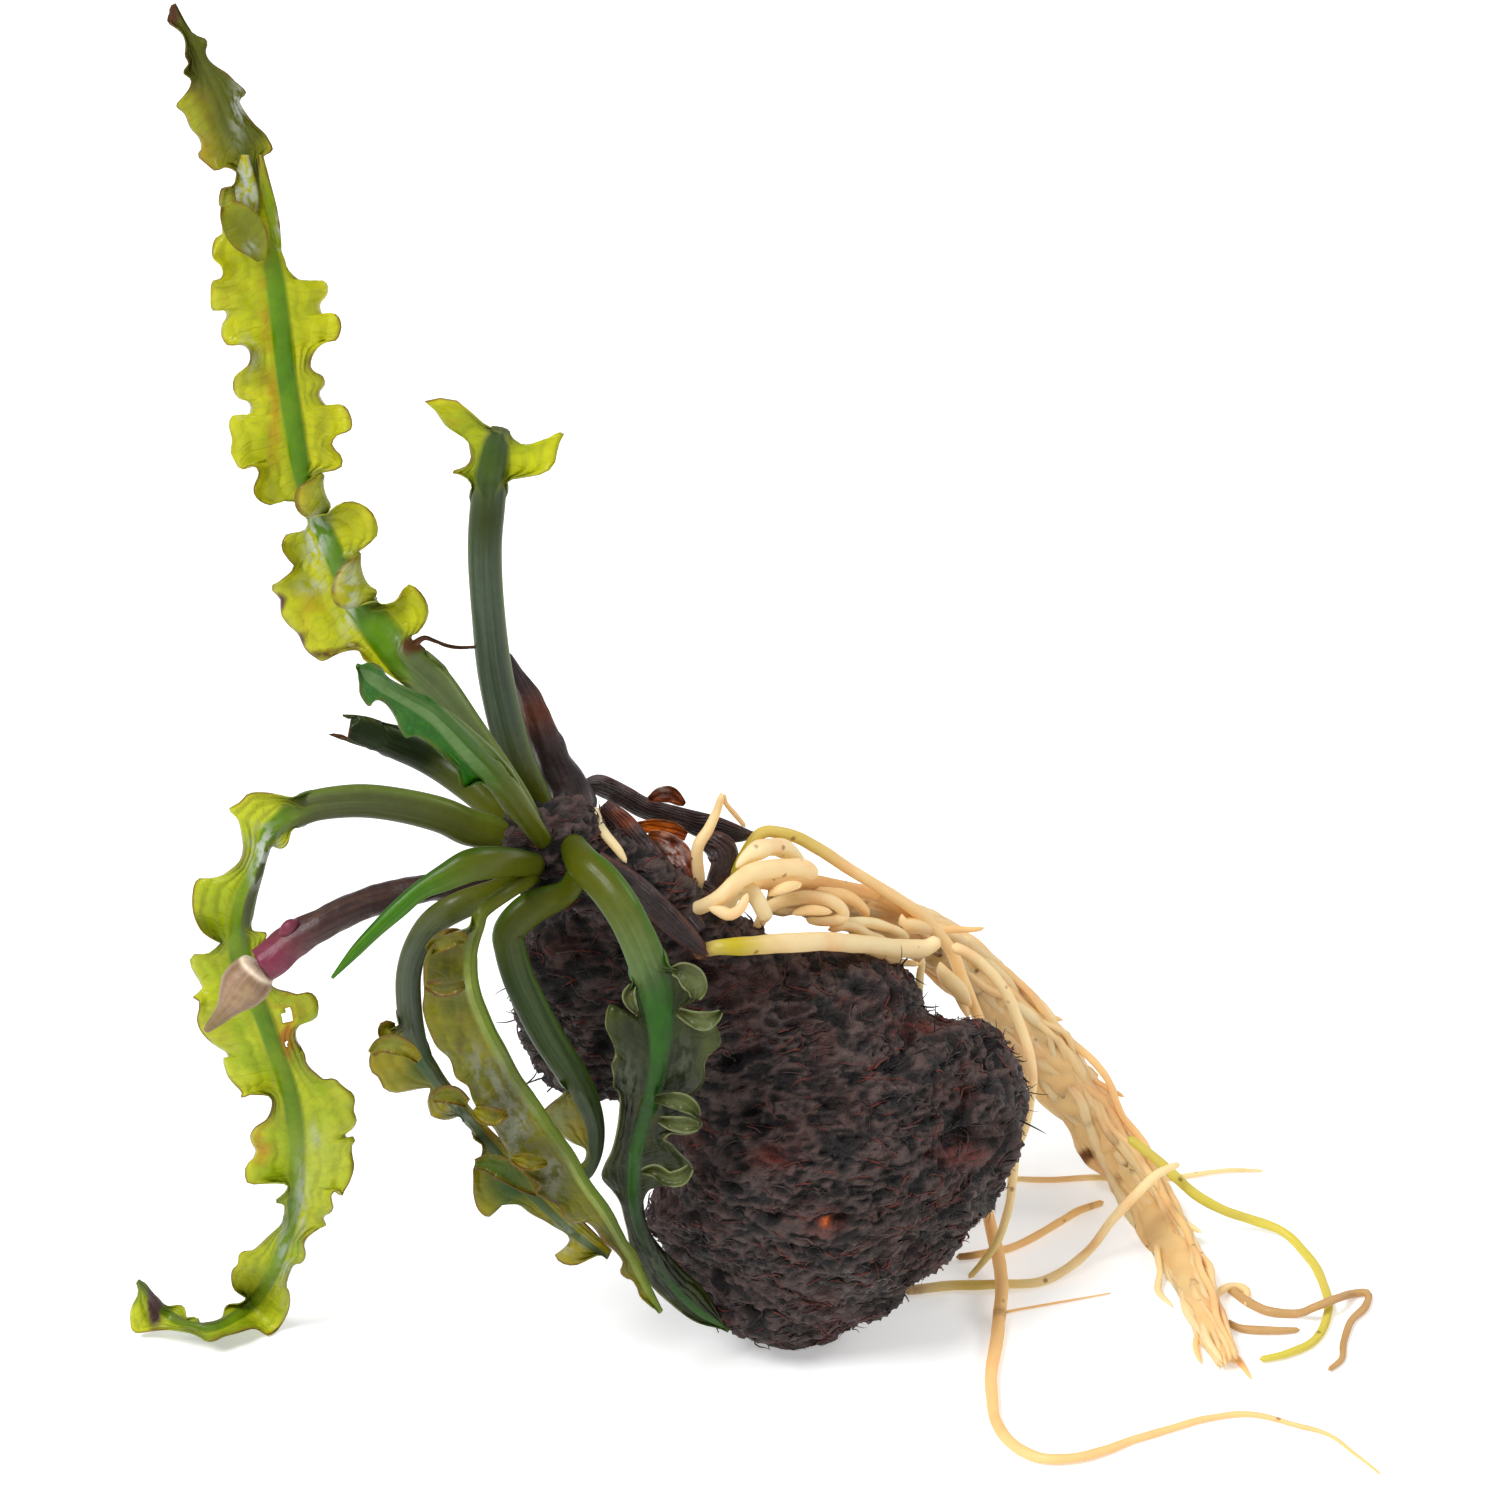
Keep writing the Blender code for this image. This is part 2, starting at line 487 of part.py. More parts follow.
def roots():
    near = [
        root("front_root", [
            seen(-13, 46.5, -8), seen(-10.5, 47.2, -11), seen(-6.5, 47.8, -10),
            seen(-1.5, 48.4, -6), seen(3, 48.6, -1), seen(8, 48.4, 4), seen(12, 47.4, 9),
            seen(15.5, 47.4, 12), seen(16.5, 48.8, 13),
        ], (1.1, 1.2, 1.25, 1.2, 1.0, 0.7)),
        root("curled_root", [
            seen(-14.5, 51.5, -2), seen(-12.5, 52.8, -6), seen(-10, 53.6, -7), seen(-8, 55.2, -6),
            seen(-6, 56.2, -4), seen(-3, 57.2, -1), seen(0.5, 57.2, 2),
        ], (1.1, 1.2, 1.2, 1.1, 0.9)),
        root("hooked_root", [
            seen(-9.5, 51.5, 0), seen(-8.5, 54.5, -1.5), seen(-6.5, 55.0, -3),
            seen(-4.8, 53.2, -4), seen(-4, 50.6, -4.5),
        ], (1.1, 1.1, 1.0, 0.8)),
        root("peaked_root", [
            seen(-13.5, 51.5, 3), seen(-13, 55.5, 1), seen(-13, 59.5, 1), seen(-11.7, 62.5, 2),
            seen(-10, 66.5, 3), seen(-8.3, 65, 4), seen(-7, 62.5, 5),
        ], (0.8, 0.85, 0.8, 0.65, 0.5)),
        root("crown_root", [
            seen(-24, 60, -3.5), seen(-25.3, 64.6, -3), seen(-24.6, 62.4, -6),
            seen(-22.8, 60, -7.5), seen(-21.6, 57.8, -8.5),
        ], (0.6, 0.7, 0.8, 0.8, 0.6)),
        root("over_root", [
            seen(-10.5, 52, 5), seen(-9, 55, 4.5), seen(-7.5, 57.5, 5), seen(-5.8, 60.8, 6),
            seen(-3.5, 62, 7), seen(0, 61, 8.5), seen(4, 58.8, 10.5), seen(8.5, 56, 13),
            seen(12.5, 53.2, 15.5), seen(16, 50.2, 17.5), seen(19.5, 46, 18.5),
            seen(21.5, 42, 18.5), seen(22.5, 38, 17.8),
        ], (1.1, 1.1, 1.15, 1.1, 1.0, 1.0, 0.9)),
        root("shoulder_root", [
            seen(-8, 53.5, 3), seen(-4, 55.2, 8), seen(1, 55.8, 10.5), seen(6, 54.4, 13),
            seen(11, 52.4, 16.5), seen(15.5, 49.4, 19.5),
        ], (1.1, 1.1, 1.0, 0.9)),
        root("looped_root", [
            seen(-5.5, 49.5, 2.5), seen(-3, 52.8, 2.5), seen(0, 54.0, 2.5), seen(3.5, 53.8, 3.5),
            seen(5.6, 52.6, 4.5), seen(4.8, 50.9, 3.5), seen(2, 50.5, 2),
        ], (1.0, 1.0, 1.0, 0.9, 0.7)),
    ]
    falling = [
        root("side_root", [
            seen(19, 47.5, 12), seen(22.5, 45.5, 13), seen(25.5, 42, 13.5), seen(28, 37, 13.5),
            seen(29.5, 32, 13), seen(29, 27, 13), seen(27.5, 22.5, 13), seen(26.5, 18, 11.5),
            seen(25.6, 13, 9.5), seen(24.2, 9.5, 8), seen(21, 6, 6.5),
        ], (0.9, 0.9, 0.9, 0.85, 0.8, 0.6)),
        root("long_root", [
            seen(23, 16.5, 19), seen(23.8, 12.5, 15.5), seen(25, 8.5, 11.5), lying(25.4, 5.0, 3.0),
            lying(25.1, 2.2, 1.7), lying(24.6, -1.2, 1.0), lying(24, -5, 1.0),
            lying(24, -8.5, 1.0), lying(24.6, -12, 1.0), lying(26.5, -14.7, 1.0),
            lying(30, -16.5, 1.0), lying(34, -16.5, 1.0), lying(38.5, -15.5, 0.95),
            lying(42, -14, 0.9), lying(47, -12.5, 0.85), lying(51, -11.5, 0.8),
            lying(56, -11, 0.7), lying(62, -12.4, 0.6), lying(67, -14.2, 0.5),
            lying(72.5, -18.6, 0.35),
        ], (1.0, 1.0, 1.0, 0.95, 0.9, 0.75, 0.6, 0.45, 0.3)),
        root("floor_root_1", [
            lying(19.5, 8.6, 0.75), lying(22.5, 9, 0.75), lying(26, 9.6, 0.75),
            lying(29.5, 11.2, 0.75), lying(32.5, 13, 0.75), lying(35, 14.6, 0.75),
            lying(37, 15.6, 0.75),
        ], (0.7, 0.7, 0.65, 0.5)),
        root("floor_root_2", [
            lying(13, 4.4, 0.75), lying(19, 5.1, 0.75), lying(23, 5.1, 0.75), lying(28, 5.2, 0.75),
            lying(31, 5.9, 0.8), lying(34, 7.4, 1.8), seen(36.5, 10, 13.5), seen(39, 13.3, 13.5),
            seen(42, 16.4, 15), seen(44.5, 18.8, 17), seen(47.5, 20.3, 20.5),
        ], (0.7, 0.7, 0.7, 0.7, 0.65, 0.45)),
        root("floor_root_3", [
            lying(26.5, 18.5, 0.6), lying(31, 18.4, 0.6), lying(36, 18, 0.6), lying(41, 18, 0.6),
            lying(47, 18.3, 0.6), lying(53, 19.5, 0.6), lying(58, 19.5, 0.5),
        ], (0.55, 0.6, 0.55, 0.5, 0.35)),
        root("green_root", [
            seen(41, 24.7, 25.5), seen(44, 21.3, 23.5), seen(46.5, 18.8, 22),
            seen(49.5, 16.2, 20.5), seen(52.8, 14.5, 20), seen(56.5, 13, 20.5),
            lying(60.5, 11.8, 1.4), lying(63, 9.4, 0.8), lying(65, 6.3, 0.75), lying(66, 2, 0.75),
            lying(64.5, -1.5, 0.75), lying(61, -3.5, 0.75), lying(57.5, -4.2, 0.7),
        ], (0.75, 0.8, 0.8, 0.75, 0.7, 0.7, 0.65, 0.5)),
        root("tan_root_1", [
            lying(53.5, 4.9, 0.7), lying(56, 3, 0.7), lying(58.5, 1.8, 0.7), lying(62, 1.6, 0.7),
            lying(64.3, 2.4, 2.9), lying(67, 3.4, 2.9), lying(69, 3.9, 0.7), lying(71, 4, 0.7),
            lying(70.6, 2.4, 0.7), lying(69, 0.6, 0.7), lying(67.9, -2, 0.7),
            lying(67.7, -4.2, 0.7), lying(66, -5.6, 0.7),
        ], (0.75, 0.75, 0.7, 0.7, 0.7, 0.6, 0.5)),
        root("tan_root_2", [
            lying(53.2, 0.6, 0.65), lying(55.5, -0.3, 0.65), lying(59.5, -0.6, 0.65),
            lying(62.5, -0.4, 0.6),
        ], (0.65, 0.65, 0.55, 0.4)),
        root("fine_root", [
            lying(27, 2.1, 0.4), lying(33, 3.0, 0.4), lying(39, 4, 0.35),
        ], (0.35, 0.35, 0.25)),
    ]
    bundle = root("root_bundle", [
        seen(-8, 50, 6), seen(-3, 51.5, 11), seen(3, 52, 17), seen(9, 51, 21.5),
        seen(13.5, 50, 24.5), seen(17.5, 48.2, 26.5), seen(20.5, 46.3, 27), seen(24.5, 42.2, 28.5),
        seen(28.5, 37, 30.5), seen(31.5, 32.5, 32), seen(35, 27.6, 32), seen(38, 22.2, 30.5),
        seen(42, 16.3, 26), seen(45, 12.4, 20.5), seen(48, 8.4, 12.5), lying(50, 4, 2.9),
        lying(51.4, 0.2, 2.6), lying(53, -4.6, 2.0),
    ], (1.2, 1.4, 1.7, 2.4, 3.2, 3.8, 4.0, 4.0, 3.7, 3.3, 3.0, 2.8, 2.5, 1.5))
    return near, falling, bundle


LEAVES = grown_leaves()
FLOWER_STALK = flower()
OLD = old_growth()
NEAR_ROOTS, FALLING_ROOTS, BUNDLE = roots()

for piece in LEAVES + [FLOWER_STALK] + OLD + NEAR_ROOTS + [BUNDLE]:
    cut_away(piece, TUBER_ROOM)

for cutter in CUTTERS.objects:
    cutter.hide_render = True
    cutter.display_type = "WIRE"
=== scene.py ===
import math
import random

import bmesh
import bpy
import numpy as np
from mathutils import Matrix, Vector, noise
from mathutils.bvhtree import BVHTree


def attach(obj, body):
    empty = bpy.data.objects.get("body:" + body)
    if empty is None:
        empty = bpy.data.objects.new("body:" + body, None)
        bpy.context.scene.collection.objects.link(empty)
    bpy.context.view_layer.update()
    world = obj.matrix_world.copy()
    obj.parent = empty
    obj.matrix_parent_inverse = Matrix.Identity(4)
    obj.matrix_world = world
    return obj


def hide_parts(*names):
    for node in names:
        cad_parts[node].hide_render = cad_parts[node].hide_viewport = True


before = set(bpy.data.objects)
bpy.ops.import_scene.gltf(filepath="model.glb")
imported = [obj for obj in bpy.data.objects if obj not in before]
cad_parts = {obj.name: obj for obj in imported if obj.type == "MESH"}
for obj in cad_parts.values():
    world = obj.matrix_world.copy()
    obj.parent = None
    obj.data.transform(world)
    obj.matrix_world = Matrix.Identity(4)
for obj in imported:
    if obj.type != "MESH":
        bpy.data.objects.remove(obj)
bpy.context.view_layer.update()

mm = 0.001
random.seed(7)

# The plant is placed from listed rows: each row gives right and up on the sight plane, then the depth behind it.
view = {
    "lookDown": math.radians(28),
    "eyeDistance": 600,
    "aimRight": -6,
    "aimUp": 72,
    "frameWidth": 187.5,      # mm of the sight plane that the picture takes in
    "frameRight": -6.25,      # middle of the picture
}
toEye = np.array([0, -math.cos(view["lookDown"]), math.sin(view["lookDown"])])
sightUp = np.array([0, math.sin(view["lookDown"]), math.cos(view["lookDown"])])
sightRight = np.array([1.0, 0, 0])
eye = sightRight * view["aimRight"] + sightUp * view["aimUp"] + toEye * view["eyeDistance"]


def sightLine(right, up):
    right = np.asarray(right, float)[..., None]
    up = np.asarray(up, float)[..., None]
    return right * sightRight + up * sightUp - eye


def seen(right, up, back):
    line = sightLine(right, up)
    reach = (np.asarray(back, float) - eye[1]) / line[..., 1]
    return eye + line * reach[..., None]


def lying(right, up, height):
    line = sightLine(right, up)
    reach = (np.asarray(height, float) - eye[2]) / line[..., 2]
    return eye + line * reach[..., None]


def depthOf(right, up, height):
    # the depth at which this place in the picture is at that height over the surface
    return float(lying(right, up, height)[1])


def low(right, up, height, half, lie=0.0):
    return (right, up, depthOf(right, up, height), half, lie)


def raised(points, lift):
    # moved towards the eye, so that the place in the picture stays
    line = eye - points
    line = line / np.linalg.norm(line, axis=-1, keepdims=True)
    return points + line * np.asarray(lift)[..., None]


def unit(rows):
    return rows / np.maximum(np.linalg.norm(rows, axis=-1, keepdims=True), 1e-9)


def walked(points):
    steps = np.linalg.norm(np.diff(points, axis=0), axis=1)
    return np.concatenate([[0], np.cumsum(steps)])


def curveThrough(rows, step, fineness=14):
    # rows about `step` apart on a smooth curve through the given rows, measured in the picture
    width = max(len(row) for row in rows)
    given = np.array([list(row) + [0.0] * (width - len(row)) for row in rows], float)
    padded = np.vstack([given[:1], given, given[-1:]])
    t = np.arange(fineness)[:, None] / fineness
    dense = []
    for p, q, r, s in zip(padded, padded[1:], padded[2:], padded[3:]):
        dense.append(0.5 * (2 * q + (r - p) * t + (2 * p - 5 * q + 4 * r - s) * t * t
                            + (3 * q - 3 * r + s - p) * t ** 3))
    dense = np.vstack(dense + [given[-1:]])
    far = walked(dense[:, :2])
    places = np.linspace(0, far[-1], max(int(round(far[-1] / step)), 3) + 1)
    return np.stack([np.interp(places, far, dense[:, k]) for k in range(width)], axis=1)


def smoothStep(values, low, high):
    t = np.clip((np.asarray(values, float) - low) / (high - low), 0, 1)
    return t * t * (3 - 2 * t)


def ripple(values, seed):
    # a soft wander along a line, about -1 to 1
    return np.array([noise.noise(Vector((float(v), seed * 7.3, seed * 1.9))) for v in values]) * 1.6


def runningMean(values, reach):
    kernel = np.hanning(2 * reach + 3)[1:-1]
    padded = np.pad(values, reach, mode="edge")
    return np.convolve(padded, kernel / kernel.sum(), mode="valid")


def runningMax(values, reach):
    padded = np.pad(values, reach, mode="edge")
    return np.max(np.stack([padded[i:i + len(values)] for i in range(2 * reach + 1)]), axis=0)


def rollInto(shape, layers, rings, marks, holes=()):
    # one closed skin from rings of points: a grid, rolled up, welded along its seam and filled at its ends
    rows, around = rings.shape[:2]
    made = bmesh.ops.create_grid(shape, x_segments=around, y_segments=rows - 1, size=1)["verts"]
    places = (np.concatenate([rings, rings[:, :1]], axis=1) * mm).reshape(-1, 3).tolist()
    for vert, place in zip(made, places):
        vert.co = place
    for name, values in marks.items():
        layer = layers[name]
        values = np.broadcast_to(values, (rows, around))
        rolled = np.concatenate([values, values[:, :1]], axis=1).ravel().tolist()
        for vert, value in zip(made, rolled):
            vert[layer] = value
    cuts = [[vert for vert, inside in zip(made, np.concatenate([hole, hole[:, :1]], axis=1).ravel()) if inside]
            for hole in holes]
    bmesh.ops.remove_doubles(shape, verts=made, dist=1e-7)
    ends = {edge for vert in made if vert.is_valid for edge in vert.link_edges if edge.is_boundary}
    bmesh.ops.holes_fill(shape, edges=list(ends), sides=0)
    for cut in cuts:
        # both faces of the blade open here, and a rim joins them
        chosen = set(cut)
        doomed = {face for vert in cut for face in vert.link_faces if chosen.issuperset(face.verts)}
        bmesh.ops.delete(shape, geom=list(doomed), context="FACES")
        rim = {edge for vert in cut if vert.is_valid for edge in vert.link_edges if edge.is_boundary}
        bmesh.ops.bridge_loops(shape, edges=list(rim))


def rollStrands(shape, layers, strands, marks):
    # short closed strands, all of one size, from a single grid that is cut between one strand and the next
    count, rows, around = strands.shape[:3]
    made = bmesh.ops.create_grid(shape, x_segments=around, y_segments=count * rows - 1, size=1)["verts"]
    rowOf = {vert: number // (around + 1) for number, vert in enumerate(made)}
    places = (np.concatenate([strands, strands[:, :, :1]], axis=2) * mm).reshape(-1, 3).tolist()
    for vert, place in zip(made, places):
        vert.co = place
    for name, values in marks.items():
        layer = layers[name]
        for vert in made:
            vert[layer] = values[rowOf[vert] // rows]
    between = [face for face in {face for vert in made for face in vert.link_faces}
               if min(rowOf[vert] for vert in face.verts) % rows == rows - 1]
    bmesh.ops.delete(shape, geom=between, context="FACES")
    bmesh.ops.remove_doubles(shape, verts=made, dist=1e-7)
    ends = {edge for vert in made if vert.is_valid for edge in vert.link_edges if edge.is_boundary}
    bmesh.ops.holes_fill(shape, edges=list(ends), sides=0)


def skinMesh(name, skins, finish, nodes):
    # a piece from one or more rolled skins, each with its marks for the finish
    shape = bmesh.new()
    keys = sorted({key for skin in skins for key in skin[1]})
    layers = {key: shape.verts.layers.float.new(key) for key in keys}
    for skin in skins:
        rollInto(shape, layers, *skin)
    return settle(name, shape, finish, nodes)


def settle(name, shape, finish, nodes):
    for vert in shape.verts:
        vert.co.z = max(vert.co.z, 0)  # nothing sinks into the surface
    bmesh.ops.recalc_face_normals(shape, faces=shape.faces)
    mesh = bpy.data.meshes.new(name)
    shape.to_mesh(mesh)
    shape.free()
    mesh.shade_smooth()
    mesh.materials.append(finish)
    piece = bpy.data.objects.new(name, mesh)
    bpy.context.scene.collection.objects.link(piece)
    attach(piece, "root")
    if nodes:
        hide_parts(*nodes)
    print("made", name, len(mesh.polygons), "faces")
    return piece


# Shader helpers

def shade(red, green, blue):
    def linear(value):
        value = value / 255
        return value / 12.92 if value <= 0.04045 else ((value + 0.055) / 1.055) ** 2.4
    return (linear(red), linear(green), linear(blue), 1)


def feed(tree, socket, value):
    if isinstance(value, bpy.types.NodeSocket):
        tree.links.new(value, socket)
    elif isinstance(value, tuple) and len(value) == 3 and socket.type == "RGBA":
        socket.default_value = shade(*value)
    else:
        socket.default_value = value


def blendOf(tree, factor, first, second, kind="MIX"):
    node = tree.nodes.new("ShaderNodeMix")
    node.data_type = "RGBA"
    node.blend_type = kind
    feed(tree, node.inputs[0], factor)
    feed(tree, node.inputs[6], first)
    feed(tree, node.inputs[7], second)
    return node.outputs[2]


def sumOf(tree, operation, first, second=0.0, clamp=False):
    node = tree.nodes.new("ShaderNodeMath")
    node.operation = operation
    node.use_clamp = clamp
    feed(tree, node.inputs[0], first)
    feed(tree, node.inputs[1], second)
    return node.outputs[0]


def rampOf(tree, value, low, high):
    node = tree.nodes.new("ShaderNodeMapRange")
    node.interpolation_type = "SMOOTHSTEP"
    feed(tree, node.inputs[0], value)
    node.inputs[1].default_value = low
    node.inputs[2].default_value = high
    return node.outputs[0]


def markOf(tree, name):
    node = tree.nodes.new("ShaderNodeAttribute")
    node.attribute_name = name
    return node.outputs["Fac"]


def vectorOf(tree, x, y, z=0.0):
    node = tree.nodes.new("ShaderNodeCombineXYZ")
    feed(tree, node.inputs[0], x)
    feed(tree, node.inputs[1], y)
    feed(tree, node.inputs[2], z)
    return node.outputs[0]


def placeOf(tree):
    return tree.nodes.new("ShaderNodeTexCoord").outputs["Object"]


def noiseOf(tree, vector, scale, detail=3.0, rough=0.55):
    node = tree.nodes.new("ShaderNodeTexNoise")
    feed(tree, node.inputs["Vector"], vector)
    node.inputs["Scale"].default_value = scale
    node.inputs["Detail"].default_value = detail
    node.inputs["Roughness"].default_value = rough
    return node.outputs["Fac"]


def bumpOf(tree, height, strength, distance):
    node = tree.nodes.new("ShaderNodeBump")
    node.inputs["Strength"].default_value = strength
    node.inputs["Distance"].default_value = distance
    feed(tree, node.inputs["Height"], height)
    return node.outputs["Normal"]


def freshMaterial(name):
    material = bpy.data.materials.new(name)
    material.use_nodes = True
    tree = material.node_tree
    return material, tree, tree.nodes["Principled BSDF"]


def throughLight(tree, shader, colour, amount):
    # part of the light passes through, as in a thin leaf or a young root
    thin = tree.nodes.new("ShaderNodeBsdfTranslucent")
    feed(tree, thin.inputs["Color"], colour)
    both = tree.nodes.new("ShaderNodeMixShader")
    both.inputs[0].default_value = amount
    tree.links.new(shader.outputs[0], both.inputs[1])
    tree.links.new(thin.outputs[0], both.inputs[2])
    tree.links.new(both.outputs[0], tree.nodes["Material Output"].inputs["Surface"])


def speckleGroup():
    # small scattered specks, with their size and share as inputs
    group = bpy.data.node_groups.new("specks", "ShaderNodeTree")
    group.interface.new_socket("Vector", in_out="INPUT", socket_type="NodeSocketVector")
    group.interface.new_socket("Scale", in_out="INPUT", socket_type="NodeSocketFloat")
    group.interface.new_socket("Share", in_out="INPUT", socket_type="NodeSocketFloat")
    group.interface.new_socket("Mask", in_out="OUTPUT", socket_type="NodeSocketFloat")
    start = group.nodes.new("NodeGroupInput")
    end = group.nodes.new("NodeGroupOutput")
    cells = group.nodes.new("ShaderNodeTexVoronoi")
    group.links.new(start.outputs["Vector"], cells.inputs["Vector"])
    group.links.new(start.outputs["Scale"], cells.inputs["Scale"])
    pick = group.nodes.new("ShaderNodeSeparateColor")
    group.links.new(cells.outputs["Color"], pick.inputs[0])
    chosen = sumOf(group, "LESS_THAN", pick.outputs[0], start.outputs["Share"])
    near = sumOf(group, "SUBTRACT", 1.0, rampOf(group, cells.outputs["Distance"], 0.12, 0.42))
    group.links.new(sumOf(group, "MULTIPLY", chosen, near), end.inputs["Mask"])
    return group


specks = speckleGroup()


def specksOf(tree, vector, scale, share):
    node = tree.nodes.new("ShaderNodeGroup")
    node.node_tree = specks
    feed(tree, node.inputs["Vector"], vector)
    node.inputs["Scale"].default_value = scale
    node.inputs["Share"].default_value = share
    return node.outputs["Mask"]


# Leaves

leafMarks = ("across", "share", "along", "edge", "stalk", "rib", "brown", "deep", "bright", "glow", "fold", "gleam")


def leafFinish(name, look):
    material, tree, shader = freshMaterial(name)
    place = placeOf(tree)
    across, share, along, edge, stalk, rib, brown, deep, bright, glow, fold, gleam = [
        markOf(tree, key) for key in leafMarks]
    fine = noiseOf(tree, place, 900, 3)
    broad = noiseOf(tree, place, 190, 4)
    blade = sumOf(tree, "SUBTRACT", 1.0, stalk)
    colour = blendOf(tree, rampOf(tree, broad, 0.36, 0.64), look["blade"], look["blade2"])
    colour = blendOf(tree, sumOf(tree, "MULTIPLY", rampOf(tree, share, 0.45, 1.0), 0.5), colour, look["outer"])
    # parallel veins that wander a little, and faint rungs between them
    wander = sumOf(tree, "MULTIPLY", sumOf(tree, "SUBTRACT", broad, 0.5), 0.45)
    lane = sumOf(tree, "MULTIPLY", sumOf(tree, "ADD", share, wander), look["lanes"])
    lane = sumOf(tree, "ABSOLUTE", sumOf(tree, "SUBTRACT", sumOf(tree, "FRACT", lane), 0.5))
    lanes = rampOf(tree, lane, 0.3, 0.5)
    puff = sumOf(tree, "SUBTRACT", 1.0, rampOf(tree, lane, 0.05, 0.5))
    slant = sumOf(tree, "ADD", sumOf(tree, "MULTIPLY", along, 0.8), sumOf(tree, "MULTIPLY", share, 1.4))
    wavy = sumOf(tree, "ADD", slant, sumOf(tree, "MULTIPLY", noiseOf(tree, place, 330, 2), 2.2))
    rung = sumOf(tree, "ABSOLUTE", sumOf(tree, "SUBTRACT", sumOf(tree, "FRACT", wavy), 0.5))
    rungs = sumOf(tree, "SUBTRACT", sumOf(tree, "SUBTRACT", 1.0, rib), rampOf(tree, rung, 0.0, 0.2), True)
    patchy = rampOf(tree, noiseOf(tree, place, 300, 2), 0.35, 0.65)
    veins = sumOf(tree, "MULTIPLY", sumOf(tree, "MULTIPLY", lanes, patchy), look["veinAmount"])
    veins = sumOf(tree, "ADD", veins, sumOf(tree, "MULTIPLY", rungs, 0.12))
    colour = blendOf(tree, veins, colour, look["vein"])
    colour = blendOf(tree, sumOf(tree, "MULTIPLY", glow, patchy), colour, look["glow"])
    # painted shade: a darker, greyer green where the blade folds or lies doubled over itself
    shadowed = sumOf(tree, "MULTIPLY", fold, look["foldShadeAmount"])
    colour = blendOf(tree, shadowed, colour, look["foldTone"])
    ribTone = blendOf(tree, rampOf(tree, broad, 0.3, 0.7), look["rib"], look["rib2"])
    colour = blendOf(tree, rib, colour, ribTone)
    colour = blendOf(tree, deep, colour, look["deep"])
    colour = blendOf(tree, bright, colour, look["bright"])
    # stalk with soft lengthwise lines
    lines = noiseOf(tree, vectorOf(tree, sumOf(tree, "MULTIPLY", across, 1.8),
                                   sumOf(tree, "MULTIPLY", along, 0.03)), 1.0, 3)
    stem = blendOf(tree, rampOf(tree, lines, 0.3, 0.75), look["stalk"], look["stalk2"])
    stem = blendOf(tree, sumOf(tree, "SUBTRACT", 1.0, rampOf(tree, along, 5.0, 19.0)), stem, look["base"])
    stem = blendOf(tree, sumOf(tree, "MULTIPLY", rampOf(tree, share, 0.7, 1.0), 0.6), stem, look["stalkEdge"])
    stem = blendOf(tree, deep, stem, look["deep"])
    stem = blendOf(tree, bright, stem, look["bright"])
    colour = blendOf(tree, stalk, colour, stem)
    # margin, stains, painted wet highlights and fine mottling
    ragged = rampOf(tree, noiseOf(tree, place, 260, 2), 0.3, 0.6)
    warm = sumOf(tree, "SUBTRACT", 1.0, rampOf(tree, edge, 0.2, 0.8))
    colour = blendOf(tree, sumOf(tree, "MULTIPLY", sumOf(tree, "MULTIPLY", warm, ragged), 0.25), colour, look["glow"])
    rim = sumOf(tree, "SUBTRACT", 1.0, rampOf(tree, edge, 0.08, 0.3))
    colour = blendOf(tree, sumOf(tree, "MULTIPLY", sumOf(tree, "MULTIPLY", rim, ragged), look["marginAmount"]),
                     colour, look["margin"])
    eaten = rampOf(tree, sumOf(tree, "ADD", brown, sumOf(tree, "MULTIPLY", fine, 0.5)), 0.55, 1.0)
    colour = blendOf(tree, eaten, colour, look["brown"])
    # painted highlights: pale wet streaks laid on as colour where the gleam mark is set
    streak = noiseOf(tree, vectorOf(tree, sumOf(tree, "MULTIPLY", across, 1.1),
                                    sumOf(tree, "MULTIPLY", along, 0.5)), 1.0, 2)
    paintedHighlightMask = sumOf(tree, "MULTIPLY", gleam, rampOf(tree, streak, 0.38, 0.56))
    colour = blendOf(tree, paintedHighlightMask, colour, look["gleam"])
    mottle = sumOf(tree, "ADD", 0.82, sumOf(tree, "MULTIPLY", fine, 0.36))
    colour = blendOf(tree, 1.0, colour, vectorOf(tree, mottle, mottle, mottle), "MULTIPLY")
    feed(tree, shader.inputs["Base Color"], colour)
    dull = sumOf(tree, "SUBTRACT", look["roughness"], sumOf(tree, "MULTIPLY", fold, 0.12))
    feed(tree, shader.inputs["Roughness"], sumOf(tree, "ADD", dull, sumOf(tree, "MULTIPLY", fine, 0.12)))
    shader.inputs["Specular IOR Level"].default_value = look["shine"]
    height = sumOf(tree, "MULTIPLY", sumOf(tree, "ADD", puff, sumOf(tree, "MULTIPLY", rungs, -0.25)), blade)
    height = sumOf(tree, "ADD", height, sumOf(tree, "MULTIPLY", sumOf(tree, "MULTIPLY", lines, stalk), 0.4))
    height = sumOf(tree, "ADD", height, sumOf(tree, "MULTIPLY", fine, 0.25))
    feed(tree, shader.inputs["Normal"], bumpOf(tree, height, 0.45, 0.0004))
    throughLight(tree, shader, colour, look["through"])
    return material


def hitOf(path, points):
    # for each point, the nearest row of the path and the distance to it
    gaps = np.linalg.norm(points[:, None, :2] - path[None, :, :2], axis=2)
    nearest = np.argmin(gaps, axis=1)
    return nearest, gaps[np.arange(len(points)), nearest]


